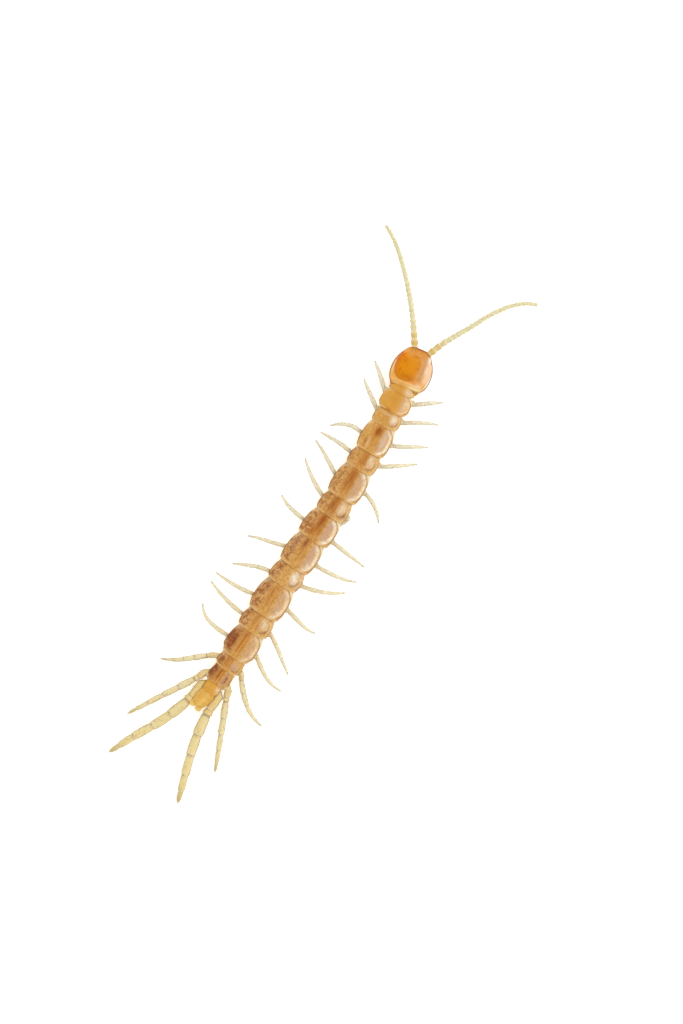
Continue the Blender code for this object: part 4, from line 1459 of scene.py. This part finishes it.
    def add_article(self, shape: Shape, route: Route, start: float, end: float, radius: float) -> None:
        """Add one spindle of a palp.

        Args:
            shape: The shape to add to.
            route: The palp's path.
            start: The share of it where the spindle starts.
            end: The share where it ends.
            radius: The spindle's radius in its middle.
        """
        stations = []
        for share, girth in SPINDLE:
            joint = {"joint": bell(share, 0.0, 0.1) + bell(share, 1.0, 0.1)}
            stations.append(((start + (end - start) * share) * route.total, radius * girth, joint))
        shape.add_rings(route.tube(stations, 12))

    def build(self) -> None:
        """Build the whole head."""
        self.capsule()
        self.eyes()
        self.mouthparts()
        for side in HANDS:
            self.antenna(side)


@dataclass(frozen=True)
class Segment:
    """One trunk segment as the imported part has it, number 0 for the poison claws' own."""

    number: int
    place: Place
    length: float
    half: float
    depth: float
    flank: float

    @property
    def wall(self) -> float:
        """Return half its width at the flanks."""
        return self.half * self.flank

    @property
    def rear(self) -> Vector:
        """Return where the next segment starts."""
        return self.place.at(0.0, self.length, 0.0)


@dataclass
class Trunk:
    """The back plates, belly plates and the one soft skin between them, from the claws to the last legs."""

    shop: Workshop
    segments: list[Segment] = field(default_factory=list)

    def __post_init__(self) -> None:
        """Lay the segments end to end, the poison claws' own first."""
        length, width, heading = CLAW_SEGMENT
        place = Place(TRUNK_START, heading)
        self.segments.append(Segment(0, place, length, width / 2, CLAW_SEGMENT_DEPTH, 1.0))
        for number, (length, width, heading) in enumerate(TRUNK_SEGMENTS, start=1):
            depth, flank = TRUNK_DEPTHS.get(number, 1.0), TRUNK_FLANKS.get(number, 1.0)
            place = Place(self.segments[-1].rear, heading)
            self.segments.append(Segment(number, place, length, width / 2, depth, flank))

    def plate_fields(self, number: int, side: float, along: float) -> Fields:
        """Return a back plate's fields at a point.

        Args:
            number: The segment's number.
            side: Share of the half width, positive on the left.
            along: Share of the segment's length from its front.

        Returns:
            The fields.
        """
        drift = 0.05 + 0.10 * (1.0 - along) if number >= 5 else 0.08
        index = max(number - 1, 0)
        gut, mottle, pale = GUT_SHOWS[index], MOTTLE_SHOWS[index], RIGHT_HIGHLIGHT_SHOWS[index]
        gut_line = min(1.0, gut + 0.35) if number >= 8 else 0.3 * gut
        long_plate = 1.0 if number in LONG_SEGMENTS else 0.0
        middle = (0.55 + 0.45 * ease(-0.05, 0.15, along)) * (1.0 - 0.55 * ease(0.60, 0.92, along))
        reach = reach_in(LONG_PLATE_OVAL, side, along)
        right = ease(0.30, 0.50, -side)
        beyond = ease(0.99, 1.04, reach) * long_plate * fade(0.55, 0.9, along)
        inner = 1.0 - ease(0.96, 1.02, reach) * long_plate
        left = ease(0.28, 0.62, side) * (1.0 - 0.35 * ease(0.90, 1.0, side))
        left *= 1.0 - 0.8 * ease(0.88, 0.98, along)
        span = ease(0.0, 0.2, along) * fade(0.75, 0.98, along)
        values = {
            "golden": GOLDEN_SHOWS.get(number, 0.0),
            "gut": gut * bell(side, drift, 0.27, 3.0) * middle,
            "gut_line": gut_line * bell(side, 0.03, 0.038) * ease(0.05, 0.3, along),
            "mottle": mottle * left,
            # On the right side the flecks follow the strength of the painted highlight
            "fleck": left * min(1.0, mottle + 0.2) + 0.5 * pale * bell(side, -0.50, 0.2) * inner,
            "mauve": pale * bell(side, -0.46, 0.21, 3.0) * span * inner,
            "dark": 0.0,
            # Painted highlight: a pale band inside the right rim of the plate
            "pale": pale * bell(reach, 0.85, 0.12) * right * inner * blend(0.75, 1.0, ease(0.2, 0.6, along)),
            "corner": beyond * (0.9 if side < 0.0 else 0.30),
            "band": ease(0.25, 0.5, abs(side - 0.1)) * ease(0.935, 0.975, along) if number < 14 else 0.0,
            "rim": 0.72 * bell(reach, 1.0, 0.026) * long_plate * right * fade(0.90, 1.0, along),
            "side": side + number * STREAK_STEP,
            "along": along,
        }
        if number in SHORT_SEGMENTS:
            # Short plates: a round painted highlight on the right side, ringed by a dark line
            highlight_blob = bell(reach_in(SHORT_PLATE_HIGHLIGHT, side, along), 0.0, 1.0, 3.0)
            values["pale"] = pale * max(highlight_blob, 0.35 * ease(0.68, 0.80, -side))
            values["mauve"] *= 0.6
            ring = bell(reach_in(SHORT_PLATE_RING, side, along), 1.0, 0.13)
            values["rim"] = 0.55 * ring * ease(0.2, 0.5, -side) * ease(0.25, 0.55, along)
        lay_patches(values, PLATE_PATCHES[number], side, along)
        return values

    def plate(self, segment: Segment, name: str, node: str) -> Item:
        """Build one back plate: a thin crowned shell with a raised rim, its front sunk under the plate ahead.

        Args:
            segment: The segment that it covers.
            name: The piece's name.
            node: The solid that it stands for.

        Returns:
            The plate.
        """
        number, place, half, depth = segment.number, segment.place, segment.half, segment.depth
        edge = segment.length + PLATE_OVERLAP
        front = PLATE_FRONT if number else CLAW_SEGMENT_FRONT
        ahead = self.segments[number - 1].depth if number > 1 else depth
        behind, drawn_in = depth, 0.0
        if segment is self.segments[-1]:
            behind = LAST_PLATE_FALL
        elif number:
            after = self.segments[number + 1]
            behind, drawn_in = after.depth, max(0.0, 1.0 - after.half / half) * PLATE_TAPER
        rings = []
        for share in shares(PLATE_ROWS):
            line = front + (edge - front) * share
            width = max(read_curve(PLATE_WIDTHS, line / edge), 0.94 if number >= STOUT_FROM else 0.0)
            width *= half * (1.0 - drawn_in * ease(0.72, 1.0, share))
            sink = NECK_SINK * fade(front + 0.012, front + 0.062, line)
            deep = depth + (ahead - depth) * 0.5 * fade(0.0, 0.4, share)
            deep += (behind - depth) * 0.5 * ease(0.5, 1.0, share)
            thick = blend(PLATE_THICKNESS, PLATE_EDGE_THICKNESS, ease(0.88, 1.0, share))
            top, bottom = [], []
            for column in shares(PLATE_COLUMNS):
                side = math.sin(math.pi / 2 * (2.0 * column - 1.0))
                margin = (1.0 - abs(side)) * width
                crest = ridges(margin, PLATE_RIM_RIDGES) + ridges(edge - line, PLATE_TAIL_RIDGE)
                crest += ridges(abs(side), PLATE_FURROW) * (1.0 - share)
                crown = 1.0 - PLATE_FALL * abs(side) ** PLATE_ROUNDING
                height = BELLY_HEIGHT + BODY_DEPTH * deep * crown - sink
                pulled = line - PLATE_CORNER * side**4 * ease(0.6, 1.0, share)
                reach = side * width * lean(side, number)
                values = self.plate_fields(number, side, line / segment.length)
                rim = bell(margin, 0.0, 0.018) * ease(0.10, 0.35, share)
                rim *= 0.55 if number < 2 else 1.0 if side > 0.0 else 0.70
                values["rim"] = max(values["rim"], rim)
                top.append((place.at(reach, pulled, height + crest), values))
                pulled -= 0.004 * ease(0.9, 1.0, share)
                bottom.append((place.at(reach * PLATE_UNDERSIDE, pulled, height - thick), values))
            rings.append(top + bottom[::-1])
        shape = Shape(rings, [place.along * 1.2] * len(rings))
        return self.shop.make(shape, name, "plate", "trunk_cuticle", node)

    def belly_plate(self, segment: Segment) -> None:
        """Build one belly plate, a thin shield that narrows backwards.

        Args:
            segment: The segment that it is on.
        """
        place, wall = segment.place, segment.wall
        rings = []
        for share in shares(BELLY_ROWS):
            line = BELLY_MARGIN + (segment.length - 2 * BELLY_MARGIN) * share
            width = wall * read_curve(BELLY_WIDTHS, share)
            low, high = [], []
            for column in shares(BELLY_COLUMNS):
                side = math.sin(math.pi / 2 * (2.0 * column - 1.0))
                bulge = abs(side * width / (wall * BELLY_REACH)) ** BELLY_ROUNDING[0]
                roundness = 1.0 - (1.0 - bulge) ** BELLY_ROUNDING[1]
                height = BELLY_HEIGHT + BELLY_RISE * roundness
                height += BELLY_RIM * ease(0.90, 1.0, abs(side)) + ridges(side, BELLY_SEAM)
                ends = max(bell(share, 0.0, 0.04), bell(share, 1.0, 0.04))
                values = {
                    "rim": max(bell(1.0 - abs(side), 0.0, 0.07), ends),
                    "gut": bell(side, 0.05, 0.35),
                    "side": side + segment.number * STREAK_STEP,
                    "along": share,
                }
                low.append((place.at(side * width, line, height), values))
                inner = place.at(side * width * BELLY_INNER, line, height + BELLY_THICKNESS)
                high.append((inner, values))
            rings.append(low + high[::-1])
        self.shop.make(Shape(rings), f"belly_plate_{segment.number:02d}", "belly", "trunk_cuticle")

    def skin(self) -> None:
        """Build the one soft skin that shows between the plates, pleated across at the joints."""
        sizes = [(segment.wall, segment.depth) for segment in self.segments]
        sizes[0] = (self.segments[0].wall * CLAW_SEGMENT_NECK, CLAW_SEGMENT_SKIN_DEPTH)
        rings = []
        for segment, (wall, depth) in zip(self.segments, sizes):
            before = sizes[max(segment.number - 1, 0)]
            after = sizes[min(segment.number + 1, len(sizes) - 1)]
            steps = max(6, round(segment.length / SKIN_STEP))
            mottled = MOTTLE_SHOWS[max(segment.number - 1, 0)]
            for step in range(steps):
                share = (step + 0.5) / steps
                waist = SKIN_WAIST + SKIN_BULGE * math.sin(math.pi * share) ** 0.6
                back, front = 0.5 * ease(0.6, 1.0, share), 0.5 * fade(0.0, 0.4, share)
                wide = blend(blend(wall, after[0], back), before[0], front)
                deep = blend(blend(depth, after[1], back), before[1], front)
                half = wide * waist + SKIN_PLEAT * math.sin(step * SKIN_PLEAT_TURN)
                low, high = BELLY_HEIGHT + SKIN_LIFT, BELLY_HEIGHT + BODY_DEPTH * deep * SKIN_TOP
                ring = []
                for turn in turns(SKIN_SIDES):
                    power = BACK_SQUARENESS if turn < math.pi else BELLY_SQUARENESS
                    bulk, tall = squarish(math.cos(turn), power), squarish(math.sin(turn), power)
                    side = bulk * half * lean(bulk)
                    height = (low + high) / 2 + tall * (high - low) / 2
                    mottle = bell(tall, 0.3, 0.6) * mottled * (0.55 + 0.45 * ease(-0.5, 0.5, bulk))
                    values = {"mottle": mottle, "gut": ease(0.7, 1.0, tall)}
                    ring.append((segment.place.at(side, segment.length * share, height), values))
                rings.append(ring)
        self.shop.make(Shape(rings), "trunk_skin", "skin", "trunk_cuticle")

    def spiracles(self) -> None:
        """Set the oval breathing pores on both flanks of the segments that have them."""
        copies = []
        for number in SPIRACLE_SEGMENTS:
            segment = self.segments[number]
            along, height = segment.length * SPIRACLE_PLACE, BELLY_HEIGHT + SPIRACLE_HEIGHT * segment.depth
            for hand in HANDS.values():
                spot = segment.place.at(hand * segment.wall * SPIRACLE_WALL * lean(hand), along, height)
                way = (segment.place.side * hand + UP * 0.10).normalized()
                copies.append(Copy(spot, way, SPIRACLE_SIZE))
        self.shop.string("spiracles", copies, "pore", "claw", "trunk_cuticle")

    def build(self) -> None:
        """Build the whole trunk but for the poison claws' segment."""
        self.skin()
        for segment in self.segments[1:]:
            name = f"back_plate_{segment.number:02d}"
            plate = self.plate(segment, name, f"trunk_segment_{segment.number:02d}")
            seed = PLATE_SEED + segment.number
            self.shop.bristles(plate, f"{name}_bristles", "trunk_cuticle", "plate", seed)
            self.belly_plate(segment)
        self.spiracles()


@dataclass
class PoisonClaws:
    """The segment behind the head: its back plate, its toothed plate below and the poison claws."""

    shop: Workshop
    trunk: Trunk
    place: Place = field(default_factory=lambda: Place(TRUNK_START, CLAW_SEGMENT[2]))

    def under_plate(self) -> None:
        """Build the plate under the head, with its middle seam and two dark teeth on each side."""
        low, high = CLAW_PLATE_HEIGHTS
        first, last = CLAW_PLATE[0][0], CLAW_PLATE[-1][0]
        rings = []
        for row in shares(CLAW_PLATE_ROWS):
            ahead = first + (last - first) * row
            half = read_curve(CLAW_PLATE, ahead)
            reach = (high - low) / 2 * (1.0 - CLAW_PLATE_THINNING * ease(0.3, 1.0, row))
            ring = []
            for turn in turns(CLAW_PLATE_SIDES):
                bulk = squarish(math.cos(turn), CLAW_PLATE_POWERS[0])
                tall = squarish(math.sin(turn), CLAW_PLATE_POWERS[1])
                below = 1.0 if tall < 0 else 0.0
                height = (low + high) / 2 + tall * reach + ridges(bulk, CLAW_PLATE_SEAM) * below
                values = {"tip": 0.35 * ease(0.93, 1.0, row), "joint": bell(bulk, 0.0, 0.025) * below}
                ring.append((self.place.at(bulk * half, -ahead, height), values))
            rings.append(ring)
        shape = Shape(rings)
        for side in (hand * tooth for hand in HANDS.values() for tooth in CLAW_TEETH):
            core = Route([self.place.at(side, along - last, height) for along, height in TOOTH_ENDS])
            stations = []
            for share, radius in TOOTH_PROFILE:
                stations.append((core.total * share, radius, {"tip": ease(0.2, 0.7, share)}))
            shape.add_rings(core.tube(stations, TOOTH_SIDES))
        self.shop.make(shape, "poison_claw_plate", "claw", "head_cuticle")

    def claw(self, side: str) -> None:
        """Build one poison claw: a stout first article, two short rings and a curved dark-tipped fang.

        Args:
            side: Left or right.
        """
        knots = tuple((float(index), *row) for index, row in enumerate(CLAW_ROUTE))
        last = len(knots) - 1
        points = []
        for share in shares(CLAW_STEPS):
            out, ahead = (read_curve(knots, last * share, column) for column in (1, 2))
            points.append(self.place.at(HANDS[side] * out, -ahead, blend(*CLAW_HEIGHTS, share)))
        route = Route(points)
        stations = []
        for share in shares(CLAW_ROWS):
            radius = max(read_curve(knots, last * share, 3), 0.004)
            groove = max(bell(share, mark, 0.014) for mark in CLAW_JOINTS)
            values = {"joint": 0.9 * groove, "tip": ease(0.72, 0.92, share)}
            stations.append((route.total * share, radius * (1.0 - CLAW_GROOVE * groove), values))
        shape = Shape(route.tube(stations, CLAW_SIDES, 0.03))
        name = f"poison_claw_{side}"
        self.shop.make(shape, f"{name}_fang", "claw", "poison_claw_cuticle", name)

    def build(self) -> None:
        """Build the whole segment."""
        self.trunk.plate(self.trunk.segments[0], "claw_segment_back_plate", "claw_segment")
        self.under_plate()
        for side in HANDS:
            self.claw(side)


@dataclass
class Legs:
    """The fifteen pairs of legs, each of seven articles and a claw, with spurs and bristles."""

    shop: Workshop
    trunk: Trunk

    def route(self, side: str, number: int) -> tuple[Route, float, float]:
        """Lay a leg's path from the flank to its tip.

        Args:
            side: Left or right.
            number: The leg's segment.

        Returns:
            The path, where the coxa ends on it, and the coxa's radius.
        """
        hand = HANDS[side]
        segment = self.trunk.segments[number]
        *swings, reach = LEG_POSES[side][number - 1]
        wall = segment.wall * 0.9 + 0.02
        out, back, back_swing, hip_radius = STOUT_HIPS.get((side, number), LEG_HIP)
        root = BELLY_HEIGHT + (LEG_ROOT_HEIGHT - BELLY_HEIGHT) * segment.depth
        along = segment.length * LEG_PLACES[side][number - 1]
        points = [segment.place.at(hand * (wall + step), along, root) for step in (-0.07, out)]
        if back > 0.0:
            points.append(points[-1] + swing(hand, back_swing) * back)
        fall, rise = 1.0, HIND_LEG_RISE if number > 13 else LEG_RISE
        if (side, number) == TUCKED_LEG:
            fall, rise = TUCKED_FALL, TUCKED_RISE
        flat = swing_path(points[-1], tuple(swings), reach, hand, LEG_STEPS)
        girth = LEG_GIRTHS.get(number, 1.0)
        for index, point in enumerate(flat[1:], start=1):
            share = index / LEG_STEPS
            arch = root * (1.0 - share) ** fall + rise * 4.0 * share * (1.0 - share)
            lifted = max(arch, self.radius(share, girth) * LEG_CLEARANCE)
            point.z = lifted if share < TIP_START else TIP_HEIGHT
        return Route(points + flat[1:]), Route(points).total, hip_radius

    def radius(self, share: float, girth: float) -> float:
        """Find a leg's radius.

        Args:
            share: The share of its length past the hip.
            girth: How many times thicker it is than a plain leg.

        Returns:
            The radius there.
        """
        scale = girth if share < 0.97 else 1.0 + (girth - 1.0) * max(0.0, (1.0 - share) / 0.03)
        if girth > 1.4:
            scale *= 1.0 + HIND_LEG_SWELL * ease(0.45, 0.85, share) * fade(0.95, 1.0, share)
        return read_curve(LEG_RADII, share) * scale

    def leg(self, side: str, number: int) -> None:
        """Build one leg with its bristles and spurs.

        Args:
            side: Left or right.
            number: The leg's segment.
        """
        route, hip, hip_radius = self.route(side, number)
        reach, girth, stout = route.total - hip, LEG_GIRTHS.get(number, 1.0), number >= STOUT_FROM
        hind = LEG_PALENESS.get(number, 0.02 + 0.035 * number)
        ends = [0.0, hip, *(hip + share * reach for share in LEG_JOINTS)]
        stations, runs = [], []
        for order, (near, far) in enumerate(zip(ends, ends[1:])):
            for share, swell in LEG_SWELLS:
                distance = near + (far - near) * share
                past = max(distance - hip, 0.0) / reach
                full = self.radius(past, girth)
                amber, strong = 0.25 * (1.0 - past), 0.35 if stout else 0.0
                dark_tip = 0.45 * ease(0.74, 0.97, past)
                if order == 0:
                    spread = 1.0 + HIP_SPREAD * fade(0.0, HIP_SPREAD_LENGTH, distance)
                    full = hip_radius * spread * HIP_SWELLS[(girth > 2.0) + stout]
                    swell = 1.0 if share < 0.1 else swell
                    amber, dark_tip = 1.0, 0.0
                elif order == 1:
                    full = max(full, hip_radius * STOUT_TROCHANTER) if stout else full
                    amber = 0.8
                if order in (1, 2):
                    strong = 0.95 if stout else 0.45
                half_way = (order == 3 and share > 0.5) or (order == 4 and share < 0.5)
                wide = 0.14 if half_way else 0.065
                close = max(bell(share, 0.0, wide), bell(share, 1.0, wide))
                values = {
                    "joint": close * (0.22 if stout else 0.85),
                    "hip": amber * (0.35 + 0.025 * number),
                    "ring": strong * bell(share, 0.0, 0.08),
                    "claw": dark_tip,
                    "hind": hind * (0.75 + 0.25 * past),
                }
                stations.append((distance, full * swell, values))
                runs.append(route.run(distance) * HAIR_LEAN)
        tips = [(hip + share * reach, self.radius(share, 1.0), {"claw": 1.0}) for share in LEG_TIPS]
        runs += [route.run(distance) for distance, _, _ in tips]
        rings = route.tube(stations, LEG_SIDES, 0.015, 0.0) + route.tube(tips, LEG_SIDES, 0.01, 0.0)
        name, slot = f"leg_{side}_{number:02d}", "leg_cuticle"
        piece = self.shop.make(Shape(rings, runs), f"{name}_articles", "leg", slot, name, sharp=75.0)
        seed = LEG_SEED + number * 2 + (0 if side == "left" else 1)
        self.shop.bristles(piece, f"{name}_bristles", slot, "hind_leg" if stout else "leg", seed)
        self.shop.string(f"{name}_spurs", self.spurs(route, hip, reach, girth), "spur", "bristle", slot)

    def spurs(self, route: Route, hip: float, reach: float, girth: float) -> list[Copy]:
        """Place the stiff spurs at the far ends of the first four articles, none of them near the floor.

        Args:
            route: The leg's path.
            hip: Where its coxa ends on it.
            reach: Its length past the coxa.
            girth: How many times thicker it is than a plain leg.

        Returns:
            The spurs.
        """
        copies = []
        for share, size in zip(LEG_JOINTS, SPUR_LENGTHS):
            distance = hip + (share - SPUR_SETBACK) * reach
            run = route.run(distance)
            across = run.cross(UP).normalized()
            for angle in (math.radians(turn) for turn in SPUR_TURNS):
                outward = across * math.cos(angle) + UP * math.sin(angle)
                root = route.at(distance) + outward * self.radius(share, girth) * SPUR_SINK
                length = size * (SPUR_BASE + SPUR_GROWTH * girth)
                way = (run * HAIR_LEAN + outward).normalized()
                if (root + way * length).z > SPUR_FLOOR:
                    copies.append(Copy(root, way, (SPUR_GIRTH * length, SPUR_GIRTH * length, length)))
        return copies

    def pores(self) -> None:
        """Set a row of gland pores on the rear underside of the last four pairs of coxae."""
        copies = []
        for number in PORE_LEGS:
            for side, hand in HANDS.items():
                route, hip, radius = self.route(side, number)
                inward = route.run(hip * 0.7).cross(UP).normalized() * -hand
                way = (inward * 0.3 - UP).normalized()
                for share in PORE_PLACES:
                    spot = route.at(hip * share) + way * radius * 0.93
                    copies.append(Copy(spot, way, PORE_SIZE))
        self.shop.string("coxal_pores", copies, "pore", "claw", "leg_cuticle")

    def build(self) -> None:
        """Build every leg."""
        for number in range(1, len(TRUNK_SEGMENTS) + 1):
            for side in HANDS:
                self.leg(side, number)
        self.pores()


@dataclass
class EndSegment:
    """The last, legless segment with its two blunt lobes."""

    shop: Workshop
    start: Vector

    def build(self) -> None:
        """Build the segment and its lobes as one soft piece."""
        length, width, heading = END_SEGMENT
        half = width * END_WIDENING / 2
        place = Place(self.start, heading)
        front, rear = END_WIDTHS[0][0], END_WIDTHS[-1][0]
        rings = []
        for row in shares(END_ROWS):
            along = front + (rear - front) * row
            wide = read_curve(END_WIDTHS, along)
            ring = []
            for turn in turns(END_SIDES):
                side, up = math.cos(turn), math.sin(turn)
                groove = ridges(side, END_GROOVE) if up < 0 else 0.0
                height = END_MIDDLE + END_DEPTH * 0.5 * wide * up + groove
                spot = place.at(half * wide * side, along * length, height)
                pale = 0.8 * bell(side, -0.15, 0.25) * ease(0.1, 0.5, along) if up > 0 else 0.2
                rim = 0.7 * bell(along, 0.30, 0.018) + 0.35 * bell(abs(side), 1.0, 0.08)
                ring.append((spot, {"pale": pale, "rim": rim}))
            rings.append(ring)
        shape = Shape(rings)
        for hand in HANDS.values():
            route = Route([
                place.at(hand * half * side, length * along, END_MIDDLE + up)
                for side, along, up in LOBE_KNOTS
            ])
            stations = []
            for share, girth in LOBE_PROFILE:
                pale = {"pale": 0.5 if share < 0.7 else 1.25}
                stations.append((route.total * share, half * LOBE_GIRTH * girth, pale))
            rings = route.tube(stations, LOBE_SIDES)
            for ring, (distance, _, _) in zip(rings, stations):
                middle = route.at(distance).z
                for spot, _ in ring:
                    spot.z = middle + (spot.z - middle) * LOBE_SQUASH
            shape.add_rings(rings)
        self.shop.make(shape, "end_segment_body", "end", "trunk_cuticle", "end_segment")


def build_studio() -> None:
    """Set the pale floor, the soft light and the camera that looks straight down, as the photograph does."""
    floor_mesh = bpy.data.meshes.new("floor")
    ends = (-FLOOR_REACH, FLOOR_REACH)
    corners = [(ends[x], ends[y], 0.0) for x, y in ((0, 0), (1, 0), (1, 1), (0, 1))]
    floor_mesh.from_pydata(corners, [], [(0, 1, 2, 3)])
    floor = link("floor", floor_mesh)
    white = (1.0, 1.0, 1.0, 1.0)
    paper = bpy.data.materials.new("matt_white_paper")
    paper.use_nodes = True
    fill(paper.node_tree, paper.node_tree.nodes["Principled BSDF"], {
        "Base Color": linear(PAPER), "Roughness": PAPER_ROUGHNESS,
        "Emission Color": white, "Emission Strength": PAPER_GLOW,
    })
    floor_mesh.materials.append(paper)

    world = bpy.data.worlds.new("white_tent")
    world.use_nodes = True
    fill(world.node_tree, world.node_tree.nodes["Background"], {"Color": white, "Strength": TENT_LIGHT})
    bpy.context.scene.world = world
    lamp = bpy.data.lights.new("soft_box", "SUN")
    lamp.energy = LAMP_LIGHT
    lamp.angle = math.radians(LAMP_SOFTNESS)
    link("soft_box", lamp).rotation_euler = [math.radians(turn) for turn in LAMP_TURNS]

    lens = bpy.data.cameras.new("camera")
    lens.lens = CAMERA_LENS
    lens.clip_start, lens.clip_end = CAMERA_CLIP
    camera = link("camera", lens)
    camera.location = Vector(CAMERA_PLACE) * MM
    camera.rotation_euler = (0.0, 0.0, math.radians(CAMERA_TURN))
    bpy.context.scene.camera = camera
    bpy.context.scene.view_settings.view_transform = "Standard"


def main() -> None:
    """Build the animal and its studio, piece by piece."""
    logging.basicConfig(level=logging.INFO, format="%(message)s")
    shop = Workshop(
        {name: finish.material() for name, finish in FINISHES.items()},
        {name: turn_unit(f"unit_{name}", *unit) for name, unit in UNITS.items()},
        build_string_tree(),
        build_bristle_tree(),
    )
    Head(shop).build()
    trunk = Trunk(shop)
    trunk.build()
    PoisonClaws(shop, trunk).build()
    Legs(shop, trunk).build()
    EndSegment(shop, trunk.segments[-1].rear).build()
    for unit in shop.units.values():
        bpy.data.objects.remove(unit, do_unlink=True)
    build_studio()


if __name__ == "__main__":
    main()
